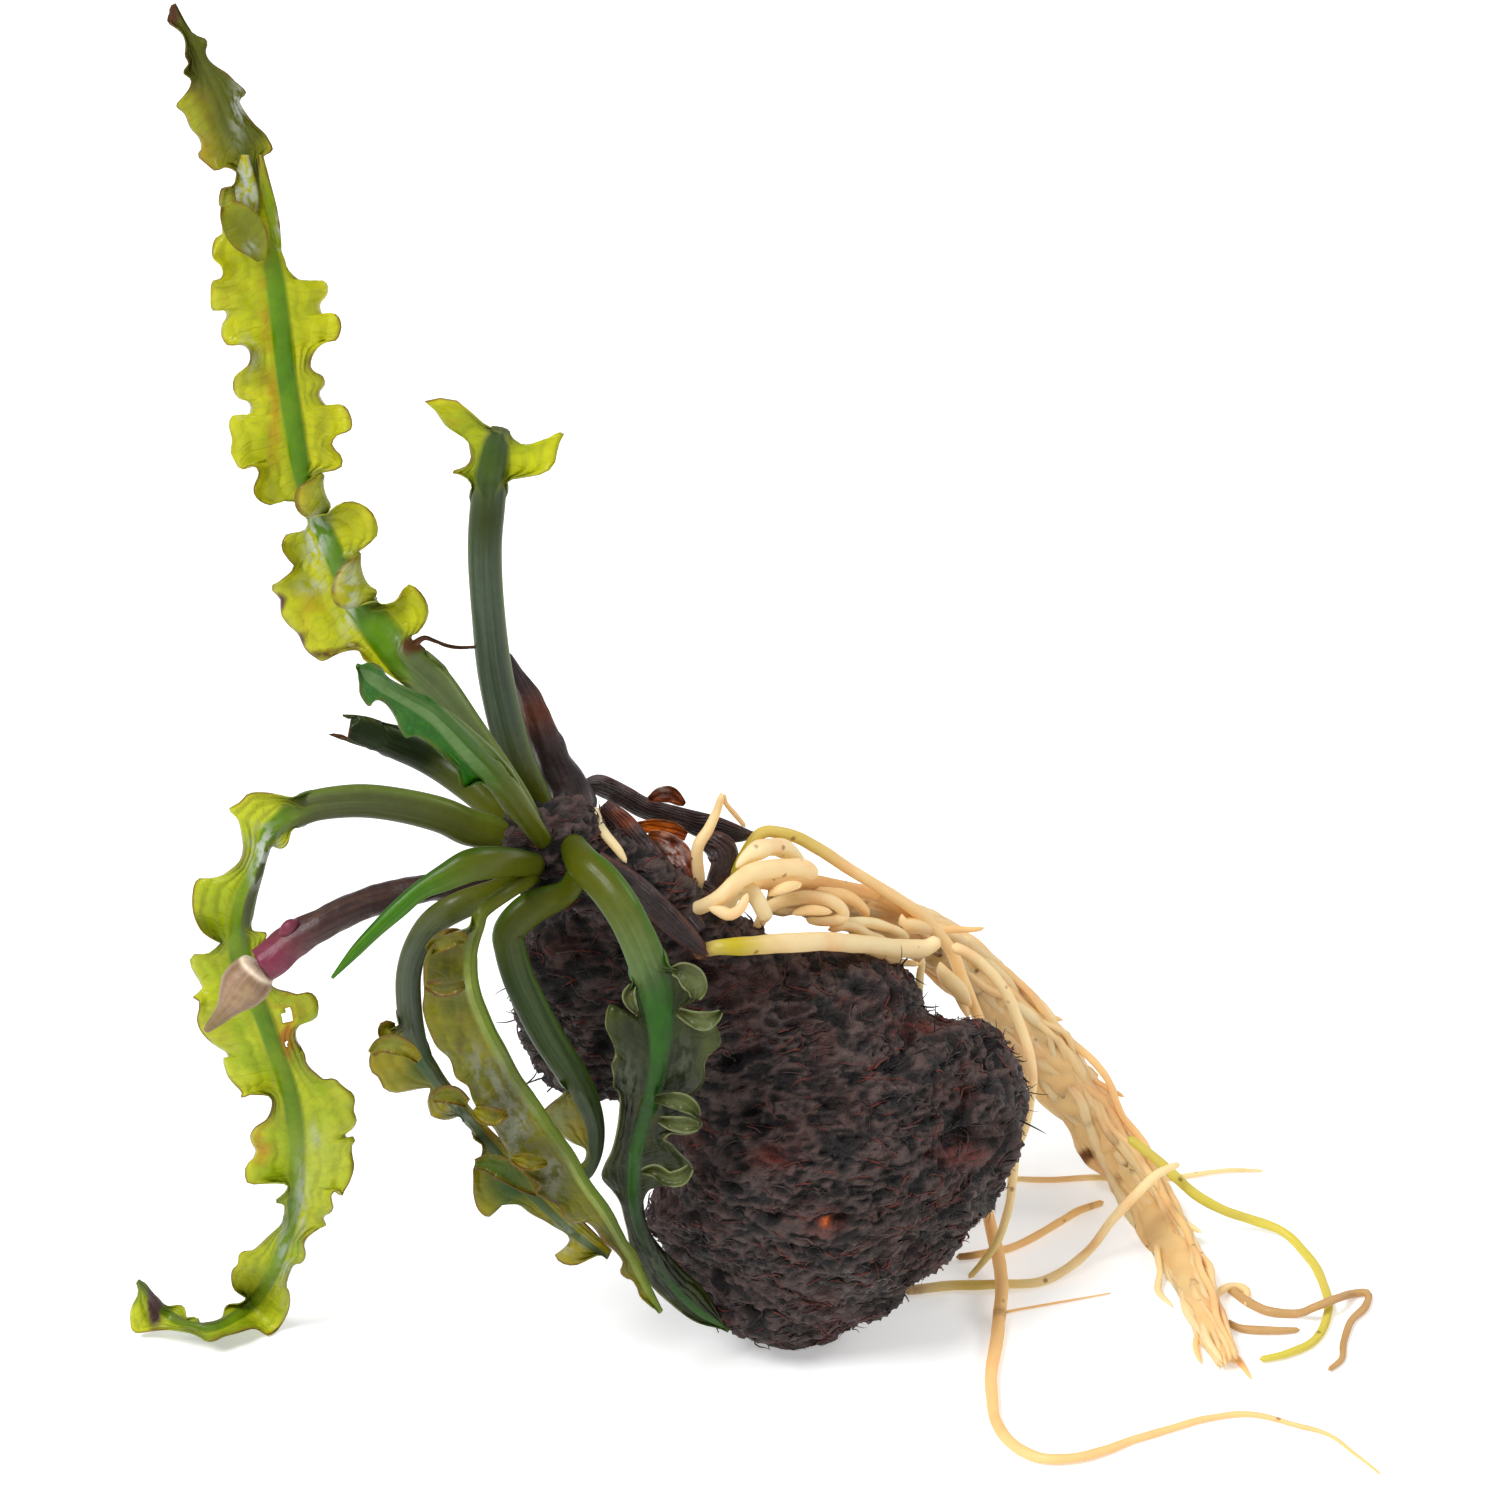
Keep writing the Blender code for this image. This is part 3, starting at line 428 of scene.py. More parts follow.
def marginOf(rib, outline, sideways, look):
    # the margin's place and lift for each row of the rib, on one side, and how far it is folded over
    rows = len(rib)
    far = walked(rib[:, :2])
    half = rib[:, 3]
    margin = rib[:, :2] + sideways * half[:, None]
    if not outline:
        return margin, np.zeros(rows), np.zeros(rows), half
    given = [tuple(row) + (0.0,) * (3 - len(row)) for row in outline]
    edge = curveThrough(given, 0.25)
    nearest, gap = hitOf(rib, edge)
    along = walked(edge[:, :2])
    window = 7
    anchors = [(0, nearest[0])]
    for j in range(window, len(edge) - window):
        near = gap[j - window:j + window + 1]
        if gap[j] > near.min() + 1e-9:
            continue
        reach = 3 * window
        before = gap[max(j - reach, 0):j + 1].max()
        after = gap[j:j + reach + 1].max()
        if min(before, after) - gap[j] < look.get("valley", 0.5):
            continue
        if far[nearest[j]] > far[anchors[-1][1]] + 0.7:
            anchors.append((j, nearest[j]))
    last = nearest[-1]
    while len(anchors) > 1 and far[last] < far[anchors[-1][1]] + 0.7:
        anchors.pop()
    anchors.append((len(edge) - 1, max(last, anchors[-1][1] + 2)))
    ribAt = np.array([far[min(b, rows - 1)] for _, b in anchors])
    edgeAt = np.array([along[a] for a, _ in anchors])
    inside = (far >= ribAt[0]) & (far <= ribAt[-1])
    at = np.interp(far, ribAt, edgeAt)
    found = np.stack([np.interp(at, along, edge[:, k]) for k in range(3)], axis=1)
    # the blade starts out of the stalk's side over a few rows
    start = smoothStep(far, ribAt[0] - 0.1, ribAt[0] + 1.6) * inside
    margin = margin + (found[:, :2] - margin) * start[:, None]
    reach = np.linalg.norm(margin - rib[:, :2], axis=1)
    widest = np.maximum(runningMean(runningMax(reach, 12), 6), reach)
    phase = np.interp(far, ribAt, np.arange(len(anchors)) * math.pi) + look.get("phase", 0) * math.pi
    inner = np.minimum(np.maximum(0.45 * reach, 0.3 * widest), reach)
    fold = np.sqrt(np.maximum(0, (widest - inner) ** 2 - (reach - inner) ** 2))
    lift = look.get("ruffle", 0.75) * fold * np.cos(phase) * inside
    lift = np.clip(lift, -look.get("liftMost", 4.0), look.get("liftMost", 4.0))
    stated = np.where(inside, found[:, 2], 0)
    lift = runningMean(np.where(np.abs(stated) > 0.2, stated, lift), 3)
    over = runningMean(smoothStep(stated, 0.8, 2.4), 2)
    return margin, lift, over, widest


def leafRows(look):
    rib = curveThrough(look["rib"], look.get("step", 0.4))
    if rib.shape[1] < 5:
        rib = np.hstack([rib, np.zeros((len(rib), 1))])
    heading = unit(np.gradient(rib[:, :2], axis=0))
    return rib, np.stack([heading[:, 1], -heading[:, 0]], axis=1)


def leafSkin(look):
    # one closed skin: rib and blade out to the margins, thin at the edges
    columns = look.get("columns", 12)
    rib, rightward = leafRows(look)
    rows = len(rib)
    far = walked(rib[:, :2])
    isFlap = "curl" in look
    half = np.full(rows, 0.1) if isFlap else np.maximum(rib[:, 3], 0.12)
    ribPart = 0.1 if isFlap else 0.3
    flat = np.zeros((rows, 2 * columns + 1, 2))
    lifts = np.zeros((rows, 2 * columns + 1))
    marks = {key: np.zeros((rows, 2 * columns + 1)) for key in leafMarks}
    middleBlade = np.zeros(rows)
    soft = np.zeros((rows, 2 * columns + 1))
    for side, outline in ((-1, look.get("left")), (1, look.get("right"))):
        sideways = rightward * side
        if isFlap:
            margin = rib[:, :2] + sideways * rib[:, 3:4]
            lift = look["curl"] * (1 + 0.25 * ripple(far * 0.5, 5.0 + side))
            over = np.zeros(rows)
            widest = rib[:, 3]
        else:
            margin, lift, over, widest = marginOf(rib, outline, sideways, look)
        ribEdge = rib[:, :2] + sideways * half[:, None]
        spread = margin - ribEdge
        width = np.linalg.norm(spread, axis=1)
        outward = np.linalg.norm(margin - rib[:, :2], axis=1) - half
        bladed = np.maximum(runningMean(smoothStep(outward, 0.1, 0.9), 3), over)
        if isFlap:
            bladed = np.ones(rows)
        middleBlade = np.maximum(middleBlade, bladed)
        inner = np.clip(np.maximum(0.4, 0.3 * widest / np.maximum(width, 0.1)), 0, 0.9)
        curled = np.clip(np.abs(lift) / 1.5, 0, 1) * (1 - over)
        crimped = ripple(far * 0.55 + 40 * side, 3.1) + 0.6 * ripple(far * 1.2 + 20 * side, 8.3)
        for k in range(columns + 1):
            t = k / columns
            stalkOut = half * math.sin(t * math.pi / 2)
            s = max((t - ribPart) / (1 - ribPart), 0.0)
            onRib = half * math.sin(min(t / ribPart, 1) * math.pi / 2)
            ease = np.clip((s - inner) / (1 - inner), 0, 1)
            bowed = np.where(s > inner, inner + (1 - inner) * np.sin(ease * math.pi / 2), s)
            g = s + (bowed - s) * curled
            bulge = look.get("foldWide", 1.9) * over * 4 * s * (1 - s)
            onBlade = rib[:, :2] + sideways * (onRib + bulge)[:, None] + spread * g[:, None]
            onStalk = rib[:, :2] + sideways * stalkOut[:, None]
            column = columns + side * k
            flat[:, column] = onStalk + (onBlade - onStalk) * bladed[:, None]
            turned = lift * (1 - np.cos(ease * math.pi / 2)) * (1 - over)
            turned = turned + over * lift * (0.25 * 4 * s * (1 - s) + s * s)
            if isFlap:
                turned = lift * s * s
            crimp = look.get("crimp", 0.25) * bladed * float(smoothStep(s, 0.15, 1.0)) * crimped
            lifts[:, column] = turned + crimp
            out = onRib + s * width
            marks["across"][:, column] = side * (stalkOut + (out - stalkOut) * bladed)
            marks["share"][:, column] = math.sin(t * math.pi / 2) * (1 - bladed) + s * bladed * (look.get("share", 0.2) if isFlap else 1)
            marks["edge"][:, column] = (1 - s) * width + 3 * (1 - bladed)
            marks["stalk"][:, column] = 1 - bladed
            soft[:, column] = 1 - (runningMean(bladed, 12) if t < ribPart else bladed)
            marks["rib"][:, column] = 0 if isFlap else 1 - smoothStep(out / half, 0.8, 1.12)
            shrunk = smoothStep(1 - (width + half) / widest, 0.2, 0.7)
            # how folded or doubled the blade is here; the finish paints shade with it
            marks["fold"][:, column] = np.clip(shrunk * s + over * 0.6 * (4 * s * (1 - s)), 0, 1) * bladed
    marks["stalk"][:, columns] = 1 - middleBlade
    soft[:, columns] = 1 - runningMean(middleBlade, 12)
    marks["along"][:] = far[:, None]
    lie = rib[:, 4][:, None]
    back = np.broadcast_to(rib[:, 2][:, None], lifts.shape)
    middle = seen(flat[..., 0], flat[..., 1], back)
    height = seen(rib[:, 0], rib[:, 1], rib[:, 2])[:, 2][:, None]
    onFloor = lying(flat[..., 0], flat[..., 1], np.broadcast_to(height, lifts.shape))
    middle = middle + (onFloor - middle) * lie[..., None]
    middle = raised(middle, lifts)
    # nothing sinks into the surface: such points come forward along the line of sight
    line = eye - middle
    sunk = np.maximum(look.get("floor", 0.35) - middle[..., 2], 0) / line[..., 2]
    middle = middle + line * sunk[..., None]
    normal = unit(np.cross(np.gradient(middle, axis=1), np.gradient(middle, axis=0)))
    width = np.abs(marks["across"]) / half[:, None]
    bladed = 1 - marks["stalk"]
    ribDeep = half[:, None] * (look.get("flatness", 0.78) * (1 - bladed) + look.get("ribDeep", 0.5) * bladed)
    ribDeep = ribDeep * np.sqrt(np.maximum(1 - width ** 2, 0))
    bladeDeep = (0.05 + 0.1 * smoothStep(marks["edge"], 0, 1.2)) * bladed
    thick = np.sqrt(ribDeep ** 2 + bladeDeep ** 2) + 0.015
    marks["stalk"] = soft
    for key, right, up, wide, tall, amount in look.get("patches", ()):
        away = ((flat[..., 0] - right) / wide) ** 2 + ((flat[..., 1] - up) / tall) ** 2
        marks[key] = np.clip(marks[key] + amount * np.exp(-away * 1.2), 0, 1)
    front = middle + normal * thick[..., None]
    behind = middle - normal * thick[..., None]
    front[..., 2] = np.maximum(front[..., 2], 0.03)
    behind[..., 2] = np.maximum(behind[..., 2], 0.03)
    rings = np.concatenate([front, behind[:, ::-1]], axis=1)
    holes = [((flat[..., 0] - right) / wide) ** 2 + ((flat[..., 1] - up) / tall) ** 2 < 1
             for right, up, wide, tall in look.get("holes", ())]
    holes = [np.concatenate([hole, hole[:, ::-1]], axis=1) for hole in holes]
    return rings, {key: np.concatenate([values, values[:, ::-1]], axis=1) for key, values in marks.items()}, holes


def growLeaf(name, node, finish, look):
    # flaps are lobes that stand or fold over the blade: a middle line with half the lobe's width in each row
    skins = [leafSkin(look)]
    for rows, curl, changes in look.get("flaps", ()):
        skins.append(leafSkin({"rib": rows, "step": 0.3, "curl": curl, "columns": 7, **changes}))
    return skinMesh(name, skins, finish, [node])


leafBase = {
    "blade": (206, 208, 26), "blade2": (182, 190, 16), "outer": (216, 214, 54), "deep": (98, 104, 26),
    "bright": (222, 226, 120), "vein": (166, 156, 12), "veinAmount": 0.36, "lanes": 3.0,
    "rib": (84, 134, 2), "rib2": (108, 150, 8), "glow": (190, 122, 20), "foldTone": (112, 126, 40),
    "foldShadeAmount": 0.75, "gleam": (204, 212, 200), "stalk": (84, 100, 58), "stalk2": (108, 120, 76),
    "stalkEdge": (112, 134, 44), "margin": (98, 60, 44), "marginAmount": 0.65, "brown": (92, 54, 24),
    "roughness": 0.28, "shine": 0.3, "through": 0.35, "base": (96, 102, 14),
}


def leafLook(**changes):
    return {**leafBase, **changes}


tallLeaf = {
    "rib": [
        (-33, 61, -8, 1.6), (-35.7, 66, -8, 1.9), (-42, 75, -5, 2.2), (-46, 80.2, -2.5, 2.5),
        (-49.5, 83.5, -1, 2.4), (-52.8, 87.5, 1, 2.2), (-55.5, 91, 2, 1.8), (-57.5, 95, 3, 1.4),
        (-59.3, 99, 4, 1.2), (-60.8, 102.5, 5, 1.2), (-62.3, 107, 5.3, 1.25), (-63.3, 113, 5.5, 1.3),
        (-64.2, 119, 6, 1.3), (-65, 126, 6.5, 1.3), (-65.8, 132, 7, 1.2), (-66.5, 136, 7.5, 0.9),
        (-67.2, 141, 8, 0.8), (-68.5, 145.3, 8.6, 0.7), (-70.3, 149, 9.2, 0.55), (-72.3, 154, 9.8, 0.5),
        (-74.5, 158, 10.3, 0.45), (-76.5, 161.5, 10.8, 0.4), (-78.3, 165.2, 11, 0.3),
    ],
    "left": [
        (-48.8, 79.2), (-51.5, 81.5), (-54.4, 83.2), (-55, 84.3), (-56.2, 84.6), (-58, 84), (-59.6, 83.1),
        (-60.5, 83.5), (-61.8, 84.6), (-62.7, 86.5), (-63.8, 87.5), (-64.8, 88.8), (-64.9, 90.2), (-65, 91),
        (-66.2, 92.3), (-65.2, 93), (-64, 93.9), (-63.2, 94.9), (-63.9, 95.8), (-64.7, 97), (-64.7, 98.2),
        (-64.1, 99), (-63, 99.1), (-62, 99.4), (-61.6, 100.3), (-62, 101.3), (-63.5, 103.3), (-65, 103.1),
        (-66.3, 102.6), (-67.6, 103.2), (-68.3, 104.3), (-68, 105.6), (-67.6, 106.4), (-67.9, 107.3),
        (-68.8, 107.6), (-69.9, 107.1), (-70.6, 108), (-71.2, 109.3), (-71, 110.8), (-71.4, 112.7),
        (-70.8, 113.9), (-69.9, 113.5), (-69, 113.8), (-68.6, 114.6), (-69, 115.6), (-70.2, 116),
        (-70.9, 117.3), (-70.7, 118.6), (-69.8, 119.4), (-68.9, 120.2), (-68.7, 121.5), (-69.4, 122.5),
        (-70.5, 122.7), (-71.6, 122.6), (-72.3, 123.7), (-72.2, 125.2), (-71.6, 126.2), (-72.1, 127.1),
        (-73.5, 127), (-73.7, 128.8), (-73.5, 130.5), (-72.5, 130.8), (-72.1, 131.6), (-72.4, 132.6),
        (-73.3, 133.4), (-73.5, 134.7), (-73.1, 135.9), (-72.2, 136.5), (-72.2, 137.5), (-71.4, 138.3),
        (-71.7, 139.5), (-72.6, 140.1), (-72.4, 142.1), (-71.3, 142.3), (-70.6, 143), (-70.5, 144.3),
        (-72, 144.9), (-73.1, 144.4), (-74.3, 145.3), (-75.3, 146.3), (-74.8, 147.2), (-75.1, 148.5),
        (-76.2, 149.8), (-76.9, 151.5), (-78, 152.5), (-77.4, 153.4), (-76.4, 154.6), (-76.1, 155.8),
        (-77.1, 156.7), (-76.4, 157.8), (-76.9, 158.8), (-76.9, 160.2), (-77.6, 161.8), (-79.1, 163),
        (-78.9, 164.1), (-79, 164.9), (-78.4, 165.4),
    ],
    "right": [
        (-46.2, 81.8), (-48, 84.6), (-47.8, 85.3), (-48.9, 85.3), (-48.9, 86.4), (-47.5, 86.7), (-46.9, 87.6),
        (-46.5, 88.8), (-46.5, 90), (-47, 91.2), (-48, 92.3), (-49, 92.7), (-49.5, 92.2), (-49.8, 91.2),
        (-50.6, 90.5), (-51.8, 90.1), (-53, 89.8), (-55, 89.9, 2.5), (-56.8, 89.6, 3.5), (-58.1, 90.2, 4),
        (-58.6, 91.6, 4.2), (-58.3, 93.4, 4), (-57.2, 95.1, 3.2), (-55.3, 96.6, 2), (-53.8, 97.8),
        (-52.8, 98.9), (-52.8, 100.2), (-53.4, 101.6), (-54.6, 102.6), (-56.3, 103.1), (-58, 102.8),
        (-59.3, 101.9), (-60.3, 101.1, 1.5), (-61.7, 101, 3), (-62.9, 102, 3.8), (-63.2, 103.4, 4),
        (-62.8, 104.8, 3.6), (-61.3, 105.8, 2.5), (-59.8, 106.5, 1.2), (-58, 107), (-57.2, 107.6),
        (-57.4, 108.8), (-58.3, 109.7), (-58.5, 110.5), (-57.8, 111.4), (-56.2, 112), (-56, 113.2),
        (-56.6, 114.7), (-57.8, 115.2), (-59, 114.9), (-59.8, 115.8), (-60.1, 116.7), (-59.4, 117.7),
        (-59.6, 118.7), (-60.6, 119.2), (-61.2, 119.9), (-61, 121.2), (-60.2, 122.4), (-59, 123.1),
        (-58, 123.2), (-57.5, 124), (-57.3, 125.2), (-57.8, 126.3), (-58.7, 126.6), (-59.6, 126.3),
        (-60, 127.2), (-59.9, 128), (-59.2, 128.8), (-59, 129.8), (-59.5, 130.6), (-60.5, 130.5),
        (-61.4, 130.1), (-62.4, 130.3), (-63.5, 131), (-64.1, 132), (-64.4, 133.2), (-65, 134.2),
        (-65.4, 135), (-65.7, 137), (-66.1, 140), (-66.8, 143), (-67.7, 145.3), (-66.8, 146.3),
        (-65.9, 147.1), (-66.6, 148.6), (-67.2, 149.3), (-68.2, 150.2), (-69.3, 151.6), (-70, 152.8),
        (-70, 153.4), (-69.3, 154), (-69.4, 154.5), (-70.6, 155.6), (-71.8, 156.7), (-73.3, 157.8),
        (-74.2, 159.3), (-74, 160.3), (-74.4, 161), (-75.3, 161.3), (-76.3, 162.6), (-77.2, 164.1),
        (-78, 165.3), (-78.4, 165.4),
    ],
    "patches": [
        ("rib", -67, 141, 1.8, 7, -1.4), ("rib", -74, 157, 5, 9, -0.5), ("deep", -72, 141, 3.5, 4, 0.5),
        ("glow", -75.5, 152, 4, 7, 1.0), ("deep", -69, 151, 5, 7, 1.0), ("deep", -74, 155, 9, 11, 0.5), ("deep", -74.5, 159, 3, 4, 0.9),
        ("deep", -77, 162, 3, 4, 0.9), ("brown", -78.8, 164, 1.8, 2.6, 0.9), ("gleam", -70.2, 152.5, 0.9, 4, 0.7),
        ("glow", -66.6, 126, 1.1, 8, 0.8), ("glow", -65.8, 114, 0.9, 7, 0.7), ("gleam", -69, 121.4, 1.1, 2.0, 0.9),
        ("gleam", -60.4, 98.5, 1.5, 3.6, 1.0), ("gleam", -56.4, 91, 1.2, 4, 0.9), ("gleam", -61, 92.5, 2, 0.9, 0.6),
        ("brown", -64.8, 90.6, 1.2, 1.8, 0.8), ("brown", -62.5, 86, 1.5, 1.6, 0.75), ("brown", -59.5, 84, 3, 0.9, 0.7),
        ("brown", -55.8, 85, 2.6, 0.9, 0.6), ("brown", -48, 85.3, 2.0, 1.6, 0.85), ("glow", -61.5, 90, 2.2, 3, 0.4),
        ("brown", -53.2, 100, 0.5, 0.5, 0.7), ("deep", -59.5, 113, 0.8, 6, 0.4), ("glow", -55, 96, 1.2, 1.4, 0.4),
    ],
    "flaps": [
        ([(-69.4, 146.4, 7.4, 0.5), (-69.3, 143, 7.0, 1.3), (-69, 140.5, 6.8, 1.3), (-68.7, 138, 6.6, 0.6)], -0.4,
         {"patches": [("gleam", -69.2, 142.5, 2, 4, 1.0), ("deep", -69, 140, 3, 2, 0.5)]}),
        ([(-67.5, 146.4, 7, 0.35), (-66.9, 143, 7, 0.65), (-66.1, 139.5, 6.6, 0.75), (-65.5, 136.5, 6.3, 0.6),
          (-65.1, 134.4, 6, 0.25)], 0.1, {"patches": [("rib", -66, 140, 6, 12, 0.7), ("gleam", -64.8, 137, 0.7, 4, 0.8)]}),
        ([(-71.6, 140.3, 6.2, 0.9), (-70.9, 139.2, 5.8, 1.8), (-69.8, 137.6, 5.4, 2.4), (-68.7, 136, 5.2, 2.3),
          (-67.9, 134.6, 5.4, 1.5), (-67.3, 133.2, 5.8, 0.5)], 0.6, {"patches": [
              ("deep", -69.5, 137, 8, 8, 0.8), ("gleam", -68.6, 134.8, 0.9, 0.9, 0.6)]}),
        ([(-48.2, 85.2, -3, 0.5), (-47, 86, -2.4, 0.3), (-45.6, 85.6, -1.6, 0.2), (-44, 85, -0.8, 0.2),
          (-42.4, 84.8, 0, 0.17), (-40, 84.9, 1, 0.15)], 0.05, {"patches": [("brown", -44, 85, 9, 5, 1.0)]}),
    ],
}
leftLeaf = {
    "rib": [
        (-34, 60, -8, 1.5), (-38, 61.6, -8.6, 1.9), (-41.5, 62.4, -9, 2.2), (-45, 63.9, -10, 2.1),
        (-50, 65.1, -11, 2.0), (-55, 65.65, -12, 1.95), (-60, 65.2, -13, 1.85), (-63, 64.2, -13.6, 1.8),
        (-65, 62.9, -14, 1.4), (-66.5, 61.5, -14.3, 1.2), (-67.3, 59, -15, 0.8), (-68.2, 56.5, -15, 1.0),
        (-69.4, 53.5, -15, 1.35), (-70, 50, -14.3, 1.4), (-69.9, 46, -13, 1.4), (-68.5, 42, -12.5, 1.2),
        (-67, 38.5, -11.6, 1.15), (-65.8, 35, -11, 1.1), (-64.5, 31.5, -10, 1.1), (-63.5, 28, -9.4, 1.1),
        (-63, 24, -8.6, 1.1), (-62.9, 20, -7.6, 1.0), (-63.1, 16.5, -7, 0.95), (-63.8, 13, -6, 0.9),
        (-64.8, 9.5, -5, 0.8), (-66.2, 6, -4.2, 0.8, 0.2), low(-68.3, 3, 3, 0.75, 0.4),
        low(-70.8, 1.0, 2.4, 0.7, 0.6), low(-73.5, -0.2, 2, 0.7, 0.7), low(-76.5, 0, 2, 0.65, 0.7),
        low(-79, 1.5, 2.4, 0.6, 0.5), (-81, 3.6, -2, 0.5, 0.2), (-82.7, 5.6, -3, 0.3, 0.0),
    ],
    "left": [
        (-62.5, 62.5), (-63.5, 61.7), (-63.8, 60.8), (-64.3, 59.9), (-65.2, 59.5), (-66, 59.7), (-66.6, 58.6),
        (-67.2, 57.3), (-67.8, 55.5), (-68.3, 53), (-68.6, 50.5), (-68.5, 49.2), (-67.3, 49.3),
        (-66.6, 48.9), (-67.5, 47), (-67, 44.5), (-66, 42.5), (-65, 42), (-63.7, 41.7), (-62.8, 41.4),
        (-61.3, 41.7), (-60.3, 40.8), (-60.2, 39.4), (-60.6, 38.4), (-62, 38), (-62.9, 37.2), (-63, 36),
        (-62.4, 34.9), (-61.9, 33.9), (-61.8, 33.1), (-61.3, 32.3), (-60.3, 31.4), (-59.5, 30.8),
        (-58.2, 30.9), (-57.4, 30.2), (-56.5, 29.5), (-55.8, 29), (-55.6, 28), (-55.8, 27), (-55.4, 25.8),
        (-55.9, 24.7), (-56.6, 24.2), (-56.9, 23.8), (-56.3, 23.3), (-55.7, 23.7), (-55.5, 23.3),
        (-56, 22.7), (-56, 21.5), (-55.7, 20.2), (-55.9, 19), (-56.4, 17.8), (-57, 16.9), (-57.1, 16.2),
        (-57.3, 16.9), (-58, 17), (-58.6, 16.4), (-58.5, 15.5), (-58.3, 14.7), (-58.8, 14.1), (-59.4, 13.8),
        (-59.6, 13.2), (-59.1, 12.7), (-60, 12.2), (-61, 11.6), (-61.8, 10.8), (-62, 10), (-61.8, 9.2),
        (-61.9, 8.3), (-62.5, 7.8), (-63.3, 7.6), (-63.9, 6.3), (-64.2, 5), (-63.8, 4.1), (-63.8, 2.5),
        (-64.3, 1), (-65.3, -0.5), (-66.5, -1.2), (-67.3, -0.7), (-68.3, -0.3), (-69.5, -0.6), (-70.8, -1),
        (-72, -1.3), (-73, -1.8), (-74.2, -2), (-75, -1.5), (-77, -0.9), (-79, -0.5), (-81, -0.6),
        (-83.3, -0.8), (-83.7, 1), (-83.5, 2.5), (-82.8, 4), (-83.2, 5.4),
    ],
    "right": [
        (-62.5, 66), (-63.8, 66.1), (-64.8, 66.4), (-66, 66.6), (-68, 66.7), (-69.2, 66.4), (-70, 65.5),
        (-71.5, 64.6), (-70.7, 64), (-70.1, 63), (-69.8, 61.5), (-69.6, 60), (-69.8, 58.7), (-70.3, 57.8),
        (-71.5, 56.8), (-72.5, 56.2), (-74, 55.9), (-75.2, 55.9), (-75.8, 55), (-76, 53), (-75.7, 51.2),
        (-74.8, 49.4), (-73.5, 48.4), (-72.4, 47.8), (-73.2, 47.1), (-74.3, 46.4), (-75.7, 46.5),
        (-76.3, 45.8), (-75.9, 44.5), (-75, 43), (-74.7, 42), (-76, 41.2), (-75.2, 40.8), (-75.1, 39.6),
        (-75.4, 38.3), (-75, 37), (-74, 35.8), (-72.8, 34.9), (-71.7, 34.2), (-71.4, 33.3), (-72.1, 33.5),
        (-71.9, 32.4), (-71.5, 31.2), (-70.7, 30.2), (-69.8, 29.2), (-69.9, 28.4), (-69, 28.9),
        (-67.8, 28.9), (-66.5, 28.8), (-66, 28.2), (-66.1, 27), (-66.7, 25.8), (-67.6, 25.2),
        (-68.3, 24.7), (-68.7, 23.8), (-68.5, 22.8), (-68, 22), (-68.3, 21), (-69.2, 20.1), (-69.4, 19),
        (-69, 17.8), (-67, 17.8), (-65, 17.8), (-64.1, 17.7), (-64.1, 17.2), (-64.8, 16.4), (-65.9, 15.5),
        (-65.3, 15.4), (-64.5, 15.5), (-64.5, 14.5), (-64.8, 13), (-65.6, 12.1), (-66.5, 11.2),
        (-67.6, 10.1), (-68.5, 9.4), (-69.5, 9.4), (-70.2, 8.8), (-70.3, 7.7), (-71, 7), (-71.1, 5.8),
        (-70.7, 4.5), (-69.9, 3.8), (-69.3, 3.5), (-70.3, 2.9), (-71.2, 2.8), (-72, 2.3), (-72.3, 1.3),
        (-73, 0.8), (-73.8, 0.5), (-74.6, -0.4), (-74.8, 0.3), (-75, 1.2), (-75.8, 1.3), (-76.7, 1.1),
        (-76.8, 2.2), (-77.5, 2.7), (-79, 2.7), (-80.3, 3.3), (-81.3, 4.8), (-82, 5.9), (-82.8, 5.6),
    ],
    "patches": [
        ("glow", -64.6, 39.5, 2.0, 3.6, 1.4), ("glow", -64.3, 34.8, 1.4, 2.4, 1.2), ("brown", -80.8, 3, 1.2, 5, 0.9),
        ("brown", -77.5, 0.8, 2.4, 1.2, 0.5), ("brown", -84, 3, 0.9, 3, 0.5), ("gleam", -66.8, 60, 1.8, 2.6, 1.0),
        ("gleam", -67.5, 56.6, 1.2, 2, 0.8), ("gleam", -62.3, 16, 0.8, 5, 0.7), ("gleam", -64.4, 9, 0.8, 4, 0.6),
        ("gleam", -60.5, 24, 0.7, 1.6, 0.6), ("deep", -68.5, 13, 2.4, 5, 0.45), ("deep", -68.5, 4.5, 4, 3, 0.6),
        ("glow", -67.2, 22, 1.4, 4, 0.7), ("glow", -72, 40, 1, 4, 0.4), ("bright", -60, 21, 3.4, 5, 0.3),
    ],
    "holes": [(-64.1, 38.8, 0.95, 1.4), (-64.2, 35.4, 0.35, 0.8)],
}
